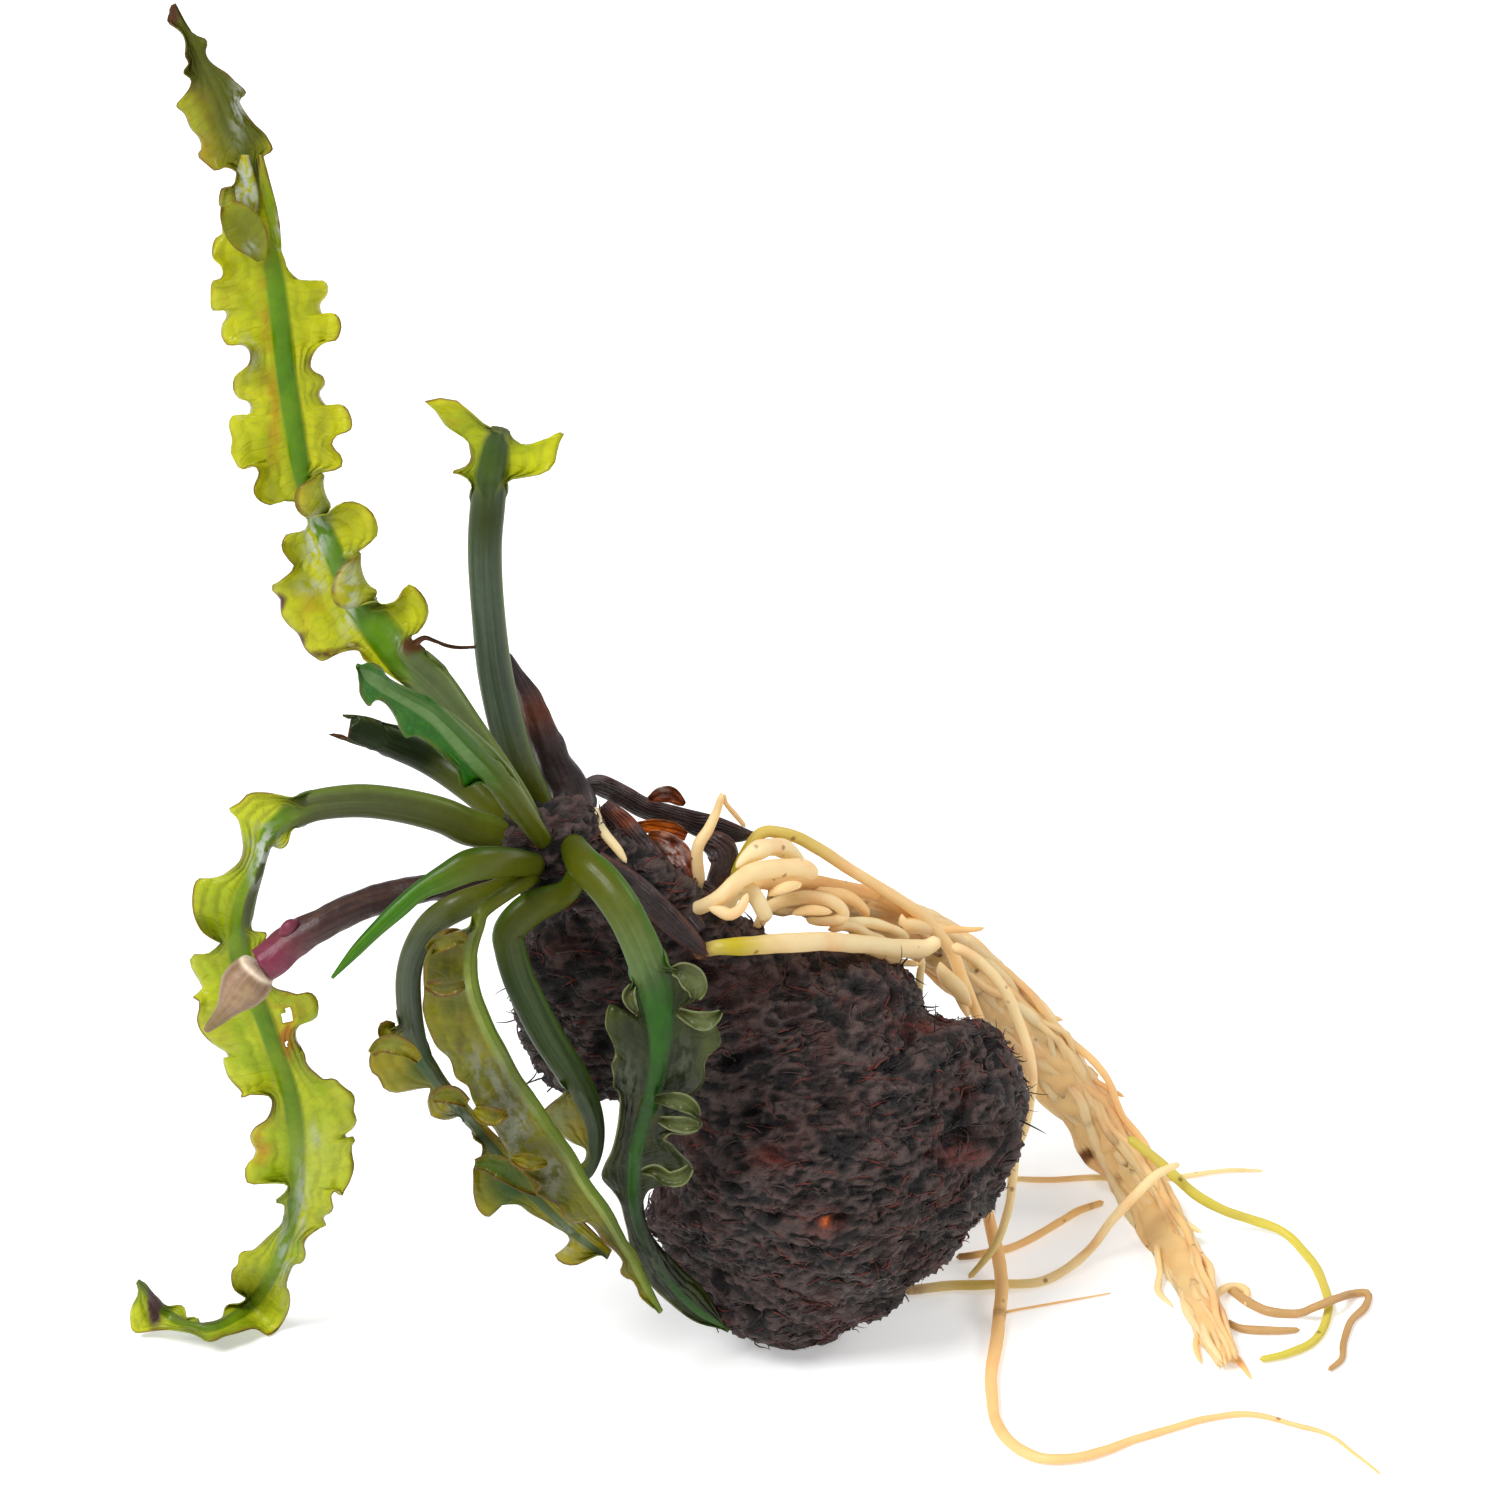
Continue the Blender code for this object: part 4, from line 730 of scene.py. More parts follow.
cutLeaf = {
    "rib": [
        (-31, 60, -1, 1.7), (-32.8, 65, 1, 2.0), (-35.8, 72, 1.5, 2.2), (-38, 81, 2, 2.2),
        (-39, 89.5, 1, 2.1), (-39.4, 97, 2, 2.15), (-39, 103, 2, 2.2), (-38.4, 108, 2, 2.0),
        (-37.6, 112, 2, 1.4),
    ],
    "left": [
        (-41.3, 104.3), (-41.5, 105.6), (-42.2, 106.4), (-43.7, 106.7), (-43, 107), (-42, 107.3),
        (-41.3, 108), (-41.1, 109), (-41.3, 110.2), (-42, 111.5), (-43.2, 112.1), (-44.5, 112.8),
        (-45.3, 113.8), (-45.8, 114.8), (-47, 115.5), (-45.8, 115.9), (-44.5, 116), (-43, 115.8),
        (-42.2, 115.4), (-41.5, 114.7), (-40.3, 113.6), (-39.3, 112.8), (-38.3, 112.4),
    ],
    "right": [
        (-36.8, 105), (-36.3, 105.9), (-33.5, 106.1), (-31.5, 106.9), (-30.6, 108), (-30.2, 110),
        (-29.3, 112), (-30.5, 111.3), (-32, 110.4), (-33.5, 110), (-34.8, 110.2), (-36, 111.3), (-36.6, 113),
    ],
    "ruffle": 0.3,
    "patches": [("deep", -38.8, 101.5, 4, 4.5, 0.95), ("glow", -42.5, 113.5, 2, 1.5, 0.5)],
}
youngLeaf = {
    "rib": [
        (-32, 60.5, -11, 1.1), (-34.5, 64, -14, 1.5), (-38, 68.8, -17, 1.8), (-41.5, 72.5, -21, 1.7),
        (-45, 76, -25, 1.3), (-48, 78, -27.5, 1.1), (-51, 79.6, -30, 1.0), (-53.5, 81, -33, 0.8),
        (-55.3, 82.5, -35, 0.35),
    ],
    "left": [
        (-40.5, 67), (-42.3, 67.3), (-42.8, 69.3), (-44, 70.6), (-45.5, 72), (-47, 73.2), (-48.3, 73.8),
        (-49.3, 73.5), (-50, 74.6), (-50.4, 75.7), (-51, 76.8), (-51.8, 77.8), (-52.8, 78.3), (-53.5, 77.9),
        (-53.8, 77.4), (-54.4, 77.9), (-55, 79), (-55.1, 80.2), (-55.4, 81.5), (-55.4, 82.5),
    ],
    "right": [
        (-36, 67.5), (-37.7, 70.4), (-39, 71.2), (-41, 72.9), (-43, 74.8), (-44.5, 76.6), (-45.3, 78.2),
        (-47, 79.2), (-49, 80), (-50.8, 80.8), (-52, 81.7), (-52.2, 82.3), (-53.5, 82.9), (-54.8, 83),
        (-55.4, 82.7),
    ],
    "step": 0.3,
}
brokenLeaf = {
    "rib": [
        (-34, 60.5, -3, 1.4), (-38, 64.5, -1.5, 1.7), (-42, 68, 1, 1.9), (-46, 70.8, 3, 1.95),
        (-50, 72.7, 2, 1.95), (-54, 74.2, 1, 1.8), (-56.3, 74.7, 1, 1.6),
    ],
    "left": [(-52, 71.6), (-55, 72.8), (-57, 73.4), (-59.4, 74.1), (-58, 74.4), (-56.4, 74.5)],
    "right": [(-50, 74.7), (-53, 75.6), (-55, 76.1), (-57.8, 76.5), (-57.3, 75.6), (-56.4, 74.9)],
    "patches": [("brown", -57.6, 74.6, 2.2, 2.2, 0.95)],
    "ruffle": 0.2,
}
hangingLeaf1 = {
    "rib": [
        (-34, 56.5, -11, 1.2), (-38, 54.3, -16, 1.5), (-43, 52.3, -18, 1.7), (-46, 50.3, -17.5, 1.7),
        (-48, 47.3, -18, 1.6), (-48.9, 44, -18, 1.6), (-48.9, 40.5, -18, 1.6), (-48.4, 37, -17.5, 1.5),
        (-47.3, 33.8, -16, 1.2), (-45.2, 30.5, -14.5, 0.9), (-42.3, 27, -13, 0.8), (-39, 23, -12, 0.7),
        (-36, 19.2, -11, 0.7), (-32.5, 15.5, -10.5, 0.6), (-28.5, 11.8, -10, 0.5), (-24, 8.6, -9.5, 0.3),
    ],
    "right": [
        (-50.2, 38.2), (-50.8, 38.6), (-51.6, 37.6), (-52, 36.6), (-51.5, 35.9), (-53, 35.2), (-53.8, 33.8),
        (-53.8, 32.2), (-53.2, 31.4), (-52.5, 31), (-52.3, 30), (-51, 29.2), (-49.5, 29.3), (-47.5, 29.6),
        (-46.2, 29.7), (-46.6, 28.2), (-46.3, 26.9), (-46, 26.2), (-44.8, 25.8), (-43.5, 25.7),
        (-42.2, 26.2), (-41.2, 26.5), (-40.6, 25.2), (-41.3, 24.2), (-41.2, 23.4), (-40.5, 22.9),
        (-39.8, 22.6), (-39.8, 21.5), (-40.2, 20.5), (-40.8, 19.8), (-40.8, 18.3), (-40.8, 16.5),
        (-40.4, 14.8), (-39.5, 13.8), (-38.8, 13.7), (-38.6, 14.8), (-37.5, 15.1), (-36, 15.3), (-35, 15.1),
        (-34, 14.3), (-33, 13.7), (-32, 13.2), (-30.5, 12.2), (-29, 11.2), (-28.8, 10.5), (-29.3, 9.8),
        (-30.3, 9.1), (-30.7, 8.8), (-30, 8), (-29, 7.6), (-28, 7.6), (-26.5, 8.2), (-25, 9), (-24, 9.1),
    ],
    "left": [
        (-46, 34.5), (-44, 31), (-41.5, 28), (-38.5, 24.5), (-35.5, 21.5), (-32, 18), (-28.5, 14.5),
        (-25.5, 11.5), (-23.5, 9.5),
    ],
    "patches": [("deep", -36, 17.5, 4, 3, 1.0), ("deep", -47.5, 33.5, 1.6, 2.6, 0.8), ("gleam", -43, 27, 2, 2, 0.5),
                ("glow", -40, 24, 2.4, 2, 0.8), ("gleam", -30, 11, 3, 2, 0.5)],
    "flaps": [
        ([(-50.6, 37.4, -19, 0.4), (-51.7, 37.3, -19.8, 0.9), (-51.8, 36.3, -20, 0.8), (-51.3, 35.7, -19.6, 0.3)],
         0.5, {}),
        ([(-53.6, 34, -20, 0.5), (-52.4, 35.1, -20.8, 0.9), (-50.8, 35.2, -21, 1.2), (-49, 34.5, -20.4, 1.0),
          (-47.6, 33.2, -19, 0.5)], 0.9, {"patches": [("bright", -51, 35, 3, 1.6, 0.2)]}),
        ([(-46, 28.4, -17, 0.5), (-44.8, 28.9, -17.8, 1.0), (-43.2, 28.8, -18, 1.1), (-41.6, 27.8, -17.2, 0.6)],
         0.8, {}),
        ([(-40.6, 20.2, -14, 0.6), (-38.8, 20.3, -15, 1.2), (-36.8, 19.5, -15.4, 1.5), (-34.6, 18, -14.6, 1.2),
          (-32.8, 16.6, -13.4, 0.5)], 0.9, {"patches": [("deep", -37, 19, 8, 5, 0.9)]}),
    ],
}
hangingLeaf2 = {
    "rib": [
        (-33.2, 56, -13.5, 0.9), (-36, 54.5, -20, 0.9), (-39.5, 52, -23.5, 0.9), (-40.3, 50, -24.2, 0.9),
        (-41.1, 47, -24.5, 0.85), (-41.2, 44, -24.5, 0.85), (-40.7, 41.3, -24.4, 0.85),
        (-39.7, 38.7, -24, 0.85), (-38.7, 36.5, -23.8, 0.8), (-37.3, 34, -23.5, 0.8),
        (-35.7, 31, -23, 0.8), (-33.5, 28, -22.5, 0.8), (-31.5, 25, -22, 0.75), (-29, 21.5, -22, 0.75),
        (-27, 18, -22, 0.7), (-24.5, 14.5, -21.6, 0.7), (-22.5, 11, -21, 0.6), (-20.5, 7.5, -20.2, 0.55),
        (-19, 4.5, -19.4, 0.5), (-17.5, 1.8, -18.5, 0.35),
    ],
    "right": [
        (-41.5, 50.5), (-43.5, 49.2), (-45, 48.5), (-46.3, 47), (-47, 45.5), (-47.1, 43.5), (-47, 41.5),
        (-47.2, 40), (-46.8, 38), (-46, 36), (-45.3, 34.8), (-44, 33.7), (-43.5, 32.8), (-43, 31),
        (-41.5, 30), (-41, 28.5), (-40.3, 27), (-39.8, 25.5), (-38.5, 25), (-37.5, 23.5), (-36.5, 21.8),
        (-36.3, 20.5), (-34.5, 19), (-33.3, 18.3), (-32.5, 17.5), (-33, 16.5), (-31, 15.5), (-29.8, 14.5),
        (-29.5, 13.5), (-28.3, 12.9), (-26.7, 13), (-25.5, 12), (-24.5, 10.5), (-23.3, 9.5), (-22.2, 8),
        (-22.5, 6.8), (-21.8, 6), (-21, 5.7), (-20.4, 4.6), (-20, 3.6), (-19, 2.6), (-18.2, 1.8), (-17, 1.7),
    ],
    "left": [
        (-40.2, 45), (-40, 42), (-38.7, 38), (-36, 33), (-33.4, 29.3), (-31, 26), (-26, 16.5),
        (-21.5, 10.8), (-20.7, 10), (-19.7, 8), (-17.5, 2),
    ],
    "patches": [
        ("deep", -44.5, 47, 2.6, 3.6, 0.45), ("brown", -42.4, 36, 1.2, 6, 0.55), ("deep", -36.5, 27, 2.6, 7, 0.9),
        ("deep", -31, 19, 3, 6, 0.8), ("deep", -24, 8, 3, 6, 0.8), ("gleam", -44, 49, 3, 1.2, 0.8),
        ("gleam", -44, 42.4, 2.6, 0.9, 0.8), ("gleam", -38, 30, 2, 4, 0.8), ("gleam", -35, 24.5, 2, 3.5, 0.9),
        ("gleam", -31, 19, 1.6, 3, 0.7), ("gleam", -40.6, 33, 1, 3, 0.7), ("brown", -37.5, 23.5, 1.6, 2.4, 0.5),
    ],
    "crimp": 0.7,
    "flaps": [
        ([(-46.5, 46.8, -25, 0.6), (-44.8, 48, -26, 1.2), (-43, 48.6, -26, 1.1), (-41.8, 48.2, -25.5, 0.5)], 0.6,
         {"patches": [("deep", -44.5, 48, 4, 3, 0.35)]}),
        ([(-46.8, 42.6, -25, 0.5), (-45, 42.2, -26.2, 1.0), (-43.2, 42.4, -26.4, 1.0), (-41.9, 42.6, -25.8, 0.4)],
         0.6, {"patches": [("deep", -44.5, 42, 4, 3, 0.6)]}),
        ([(-40.8, 27, -23.4, 0.5), (-39.6, 26.4, -24.6, 1.1), (-38, 26.2, -25, 1.1), (-36.6, 26.6, -24.4, 0.4)],
         0.8, {"patches": [("brown", -38.5, 26.4, 4, 3, 0.45)]}),
        ([(-36, 21, -22.6, 0.4), (-34.6, 20.6, -23.8, 1.0), (-32.9, 20.4, -24, 0.9), (-31.6, 20.4, -23.4, 0.3)],
         0.8, {"patches": [("brown", -34, 20.6, 4, 3, 0.5)]}),
    ],
}
hangingLeaf3 = {
    "rib": [
        (-27.6, 57.2, -11.5, 1.3), (-29.2, 54.3, -14.4, 1.5), (-33.5, 52.3, -16.5, 2.0),
        (-36.3, 49.5, -17.5, 2.0), (-36.2, 47, -17.8, 2.0), (-35.2, 43.5, -17.8, 2.0),
        (-33.8, 40.5, -17.5, 2.0), (-32, 37, -17, 2.0), (-30, 33.8, -16.5, 1.9), (-28, 30.8, -15.5, 1.8),
        (-26.5, 28, -14.5, 1.5), (-25.6, 25, -12.8, 1.2), (-25.6, 22, -11.8, 1.0), (-26.4, 19.5, -11, 0.8),
        (-27.2, 18.2, -10.5, 0.4),
    ],
    "right": [
        (-28.5, 31), (-29.8, 29.3), (-30.2, 28.6), (-32.3, 26.6), (-31.8, 25.4), (-30, 24), (-28.3, 22.8),
        (-26.8, 22.2), (-27.2, 20.5), (-28.3, 19.8), (-27.6, 18.4),
    ],
    "patches": [("bright", -30.5, 26, 2, 3, 0.6)],
}
hangingLeaf4 = {
    "rib": [
        (-28.5, 60.3, -10, 1.6), (-27, 57.8, -15, 2.2), (-24.5, 55.3, -17.5, 2.3), (-22.3, 52.3, -19.5, 2.3),
        (-20.7, 49.3, -20.5, 2.3), (-19.4, 46.3, -21.5, 2.4), (-18.4, 43, -22, 2.4), (-17.8, 40, -22.3, 2.1),
        (-17.4, 37, -22.8, 1.6), (-17.6, 34, -23, 1.2), (-18, 31, -22.5, 1.1), (-18.8, 28, -21.5, 1.0),
        (-19.8, 25, -20.3, 0.9), (-20.5, 22, -19, 0.9), (-20.8, 19, -17.5, 0.8), (-20.8, 15.5, -16.5, 0.7),
        (-20.2, 12.5, -15, 0.65), (-18.8, 9.5, -14.5, 0.6), (-16.3, 5.5, -13.5, 0.5),
        (-12.8, 2, -11, 0.45), (-9, -0.5, -8.5, 0.3),
    ],
    "left": [
        (-16.2, 45.6), (-14.7, 44.6), (-13.3, 43.9), (-12.5, 43.2), (-12.4, 42.1), (-13, 41), (-14.1, 40.1),
        (-15, 39.6), (-13.5, 39.1), (-11.9, 39.05), (-10.5, 39.2), (-9.8, 39.6), (-9.9, 38.9),
        (-10.5, 37.7), (-10.2, 36.8), (-9.9, 35.7), (-10, 35), (-10.8, 34.3), (-11.5, 33.6), (-11.9, 32.7),
        (-11.9, 31), (-12.2, 30.2), (-13, 29.3), (-14.1, 28.6), (-13.7, 27.9), (-13.3, 26.8), (-12.6, 25.9),
        (-12.1, 25.3), (-12.6, 24.5), (-13.6, 24.1), (-14.9, 23.9), (-16.1, 24.1), (-16.9, 23.3),
        (-16, 22.7), (-15.2, 21.8), (-13.6, 20.3), (-13.4, 19.8), (-14.1, 18.8), (-14.9, 18.2),
        (-15.8, 17.7), (-16.6, 17.8), (-17, 18.5), (-17.6, 19.5), (-18.6, 19.9), (-19.7, 19.4),
        (-19.9, 17.5), (-19.9, 15.2), (-19.4, 13), (-18.3, 11), (-16.9, 9.3), (-14.5, 7), (-12, 4.5),
        (-10, 1.5), (-9, -0.3),
    ],
    "right": [
        (-21.1, 43.2), (-21.9, 41.8), (-22, 41), (-21.1, 40), (-20.5, 39), (-20.9, 38.6), (-22.4, 39.5),
        (-23.6, 40.2), (-24, 40), (-24.3, 38.8), (-24.3, 37.4), (-23.8, 36.3), (-23.3, 35.2),
        (-23.1, 33.8), (-23.6, 32.7), (-23.3, 31.3), (-23.3, 29.9), (-22.7, 29.3), (-22.5, 28),
        (-22.8, 25), (-23.5, 22), (-24.5, 20), (-24.8, 18.5), (-23.5, 17), (-22.5, 15.5), (-22, 13.5),
        (-21.6, 12), (-21.2, 10), (-20.5, 8), (-19, 5.5), (-16.5, 3), (-13, 0.5), (-9.2, -0.8),
    ],
    "patches": [
        ("deep", -21.5, 30, 2.6, 6, 0.8), ("brown", -21.5, 27, 2.4, 5, 0.45), ("deep", -18, 10, 4, 8, 0.9),
        ("bright", -11.5, 36, 1.2, 3, 0.3), ("gleam", -21.6, 31, 1.8, 4, 0.45), ("gleam", -14.5, 33, 1.6, 4, 0.4),
        ("glow", -19.8, 26, 1.4, 3, 0.6), ("deep", -15, 31, 2.4, 5, 0.5), ("gleam", -18.5, 8, 3, 5, 0.4),
    ],
    "crimp": 0.5,
    "flaps": [
        ([(-16.0, 44.4, -23.4, 0.5), (-14.7, 44.3, -24.2, 1.2), (-13.5, 43.4, -24.8, 1.6), (-12.9, 42.1, -24.8, 1.3),
          (-13.1, 40.9, -24.2, 0.6)], 0.9, {"patches": [("bright", -13, 42.5, 3, 3, 0.5)]}),
        ([(-15.2, 39.3, -23.6, 0.5), (-13.6, 38.5, -24.6, 0.9), (-12, 38.1, -25.2, 1.2), (-10.7, 38.6, -25.2, 0.8),
          (-9.9, 39.3, -25, 0.3)], 0.9, {"patches": [("bright", -11.5, 38.4, 3, 2, 0.6)]}),
        ([(-18.2, 28.4, -22.6, 0.4), (-16.4, 28.3, -23.8, 0.9), (-14.6, 27.9, -24.6, 1.1), (-13.3, 27.1, -24.8, 0.8),
          (-12.7, 26.2, -24.6, 0.3)], 0.9, {"patches": [("bright", -14.5, 27.8, 3, 2, 0.45)]}),
        ([(-17.6, 25.8, -22, 0.4), (-15.9, 25.3, -23.2, 0.9), (-14.1, 25.1, -24, 1.0), (-12.7, 24.9, -24.2, 0.5)],
         0.9, {"patches": [("bright", -14.4, 25, 3, 2, 0.45)]}),
        ([(-20.9, 42.6, -22.6, 0.4), (-21.4, 41.4, -23.4, 0.8), (-21.1, 40.3, -23.8, 0.7), (-20.4, 39.2, -23.4, 0.3)],
         0.7, {"patches": [("bright", -21.3, 41, 2, 2, 0.4)]}),
        ([(-19.8, 19.3, -19.5, 0.35), (-18.1, 19.4, -20.4, 0.8), (-16.5, 18.4, -21, 0.9), (-14.9, 18.6, -21.4, 1.0),
          (-13.7, 19.8, -21.4, 0.5)], 0.8, {"patches": [("bright", -15, 18.8, 2.4, 2, 0.5)]}),
    ],
}
pointedLeaf = {
    "rib": [
        (-33, 57.5, -12.5, 1.6), (-37, 58, -20.5, 1.9), (-41, 57.6, -24, 2.0), (-44.5, 56, -25.2, 1.6),
        (-47.5, 54.4, -26, 1.15), (-50.3, 52, -27, 1.1), (-53, 49.5, -28, 0.9), (-55.7, 46.7, -29, 0.7),
        (-58.5, 43.5, -30, 0.2),
    ],
    "flatness": 0.7,
}

growLeaf("tallLeaf", "tall_leaf", leafFinish("tallBlade", leafLook()), tallLeaf)
growLeaf("leftLeaf", "left_leaf", leafFinish("leftBlade", leafLook(
    blade=(200, 208, 40), blade2=(166, 186, 22), outer=(212, 214, 60), rib=(100, 140, 8), rib2=(130, 158, 16),
    vein=(150, 164, 16),
    stalk=(84, 92, 50), stalk2=(104, 112, 66), foldTone=(104, 134, 40), brown=(104, 78, 84))), leftLeaf)
growLeaf("cutLeaf", "cut_leaf", leafFinish("cutBlade", leafLook(
    blade=(206, 212, 18), blade2=(172, 186, 20), outer=(212, 206, 40), rib=(78, 104, 8), rib2=(56, 84, 8),
    deep=(56, 70, 8), stalk=(66, 80, 58), stalk2=(98, 112, 92), stalkEdge=(96, 118, 34))), cutLeaf)
growLeaf("youngLeaf", "young_leaf", leafFinish("youngBlade", leafLook(
    blade=(40, 116, 12), blade2=(64, 134, 22), outer=(50, 126, 24), rib=(100, 140, 66), rib2=(124, 158, 96),
    vein=(24, 84, 10), deep=(24, 62, 10), foldTone=(26, 84, 12), stalk=(52, 104, 14), stalk2=(82, 124, 36),
    margin=(40, 90, 30))), youngLeaf)
growLeaf("brokenLeaf", "broken_leaf", leafFinish("brokenBlade", leafLook(
    blade=(44, 58, 18), blade2=(58, 72, 24), outer=(66, 80, 30), rib=(34, 48, 16), rib2=(48, 62, 24),
    stalk=(28, 42, 16), stalk2=(48, 62, 28), stalkEdge=(64, 78, 28))), brokenLeaf)
growLeaf("pointedLeaf", "pointed_leaf", leafFinish("pointedBlade", leafLook(
    stalk=(52, 112, 8), stalk2=(92, 144, 28), stalkEdge=(36, 84, 10))), pointedLeaf)
growLeaf("hangingLeaf1", "hanging_leaf_1", leafFinish("hangingBlade1", leafLook(
    blade=(168, 156, 14), blade2=(120, 124, 18), outer=(176, 164, 20), deep=(44, 84, 18), rib=(84, 104, 50),
    rib2=(96, 112, 70), foldTone=(70, 84, 16), stalk=(80, 90, 62), stalk2=(100, 110, 96),
    stalkEdge=(96, 100, 30))), hangingLeaf1)
growLeaf("hangingLeaf2", "hanging_leaf_2", leafFinish("hangingBlade2", leafLook(
    blade=(140, 134, 18), blade2=(108, 112, 24), outer=(128, 124, 20), deep=(78, 78, 40), rib=(132, 150, 52),
    rib2=(160, 172, 84), foldTone=(76, 80, 24), stalk=(104, 130, 16), stalk2=(128, 146, 40),
    gleam=(142, 146, 126), brown=(84, 62, 30))), hangingLeaf2)
growLeaf("hangingLeaf3", "hanging_leaf_3", leafFinish("hangingBlade3", leafLook(
    blade=(176, 158, 10), blade2=(150, 140, 12), outer=(180, 166, 18), deep=(34, 46, 28), rib=(56, 74, 36),
    rib2=(64, 84, 44), stalk=(50, 68, 26), stalk2=(78, 96, 48), stalkEdge=(74, 112, 16),
    bright=(150, 166, 120))), hangingLeaf3)
growLeaf("hangingLeaf4", "hanging_leaf_4", leafFinish("hangingBlade4", leafLook(
    blade=(52, 62, 20), blade2=(34, 42, 12), outer=(84, 94, 36), deep=(18, 22, 8), bright=(132, 144, 84),
    gleam=(112, 120, 96), vein=(64, 72, 24), rib=(34, 84, 8), rib2=(48, 104, 12), glow=(110, 100, 30), foldTone=(28, 34, 12),
    margin=(150, 160, 112), brown=(34, 24, 14), stalk=(88, 112, 56), stalk2=(118, 136, 84),
    stalkEdge=(64, 120, 8))), hangingLeaf4)
print("leaves done")


# Stalks, straps and roots: one swept rod each, round or flattened

rodMarks = ("along", "around", "green", "brown", "tint")


def growRod(rows, look):
    # rings round a path of rows (right, up, depth, half width); deep is the share of the width towards the eye
    step = look.get("step", 0.5)
    path = curveThrough(rows, step)
    points = seen(path[:, 0], path[:, 1], path[:, 2])
    far = walked(points)
    seed = look.get("seed", 1.0)
    half = path[:, 3] * (1 + look.get("lumps", 0.07) * ripple(far * look.get("lumpRate", 0.35), seed))
    half = np.maximum(half, 0.05)
    sway = look.get("sway", 0.12)
    drift = np.stack([ripple(far * 0.16, seed + 11 + k) for k in range(3)], axis=1) * sway
    points = points + drift * smoothStep(far, 0, 2)[:, None]
    heading = unit(np.gradient(points, axis=0))
    side = unit(np.cross(heading, toEye))
    for i in range(1, len(side)):
        # carried along where the path runs at the eye, so that the rod doesn't twist
        steady = side[i - 1] - heading[i] * (side[i - 1] @ heading[i])
        steady /= max(np.linalg.norm(steady), 1e-6)
        aside = np.linalg.norm(np.cross(heading[i], toEye))
        mix = np.clip((aside - 0.25) / 0.3, 0, 1) * 0.5
        own = side[i] if side[i] @ steady > 0 else -side[i]
        side[i] = steady * (1 - mix) + own * mix
        side[i] /= np.linalg.norm(side[i])
    face = np.cross(side, heading)
    sides = look.get("sides", 12)
    angles = np.arange(sides) * 2 * math.pi / sides
    deep = look.get("deep", 1.0)
    wide = np.cos(angles)[None, :] * half[:, None]
    tall = np.sin(angles)[None, :] * half[:, None] * deep
    rough = look.get("rough", 0.0)
    if rough:
        for i in range(len(points)):
            for k in range(sides):
                bump = 1 + rough * noise.noise(Vector((math.cos(angles[k]) * 1.7, math.sin(angles[k]) * 1.7,
                                                       far[i] * look.get("roughRate", 0.5) + seed * 9)))
                wide[i, k] *= bump
                tall[i, k] *= bump
    taper = np.minimum(far, far[-1] - far)
    blunt = np.maximum(half * look.get("blunt", 0.8), 0.05)
    close = np.sqrt(np.clip(1 - (1 - np.clip(taper / blunt, 0, 1)) ** 2, 0.02, 1))
    rings = points[:, None] + side[:, None] * (wide * close[:, None])[..., None] \
        + face[:, None] * (tall * close[:, None])[..., None]
    rings[..., 2] = np.maximum(rings[..., 2], 0.02)
    marks = {
        "along": np.broadcast_to(far[:, None], wide.shape),
        "around": np.broadcast_to((np.arange(sides) / sides)[None], wide.shape),
        "tint": np.full(wide.shape, look.get("tint", 0.5)),
        "green": np.zeros(wide.shape),
        "brown": np.zeros(wide.shape),
    }
    for key, right, up, reach, amount in look.get("patches", ()):
        away = np.hypot(path[:, 0] - right, path[:, 1] - up) / reach
        marks[key] = np.clip(marks[key] + (amount * np.exp(-1.2 * away ** 2))[:, None], 0, 1)
    return rings, marks


def rootFinish(name, look):
    material, tree, shader = freshMaterial(name)
    place = placeOf(tree)
    along, around, green, brown, tint = [markOf(tree, key) for key in rodMarks]
    broad = noiseOf(tree, place, 160, 3)
    fine = noiseOf(tree, place, 1400, 3)
    colour = blendOf(tree, tint, look["pale"], look["warm"])
    colour = blendOf(tree, sumOf(tree, "MULTIPLY", rampOf(tree, broad, 0.45, 0.75), 0.6), colour, look["peach"])
    colour = blendOf(tree, green, colour, look["green"])
    stain = rampOf(tree, sumOf(tree, "ADD", brown, sumOf(tree, "MULTIPLY", fine, 0.35)), 0.35, 1.0)
    colour = blendOf(tree, stain, colour, look["brown"])
    dots = specksOf(tree, place, 900, look["speckShare"])
    colour = blendOf(tree, sumOf(tree, "MULTIPLY", dots, 0.75), colour, look["speck"])
    feed(tree, shader.inputs["Base Color"], colour)
    shader.inputs["Roughness"].default_value = 0.42
    shader.inputs["Specular IOR Level"].default_value = 0.4
    lengthwise = noiseOf(tree, vectorOf(tree, sumOf(tree, "MULTIPLY", around, 9),
                                        sumOf(tree, "MULTIPLY", along, 0.25)), 1.0, 3)
    height = sumOf(tree, "ADD", sumOf(tree, "MULTIPLY", lengthwise, 0.6), fine)
    feed(tree, shader.inputs["Normal"], bumpOf(tree, height, 0.35, 0.0002))
    throughLight(tree, shader, blendOf(tree, 0.5, colour, look["peach"]), 0.4)
    return material


rootLook = {
    "pale": (255, 246, 200), "warm": (255, 224, 158), "peach": (252, 206, 146), "green": (206, 194, 40),
    "brown": (118, 70, 30), "speck": (92, 58, 34), "speckShare": 0.03,
}
creamRoot = rootFinish("creamRoot", rootLook)
greenRoot = rootFinish("greenRoot", {**rootLook, "pale": (238, 226, 110), "warm": (216, 206, 80),
                                     "peach": (226, 208, 110), "green": (196, 196, 40)})
tanRoot = rootFinish("tanRoot", {**rootLook, "pale": (228, 196, 140), "warm": (206, 164, 100),
                                 "peach": (190, 140, 80)})

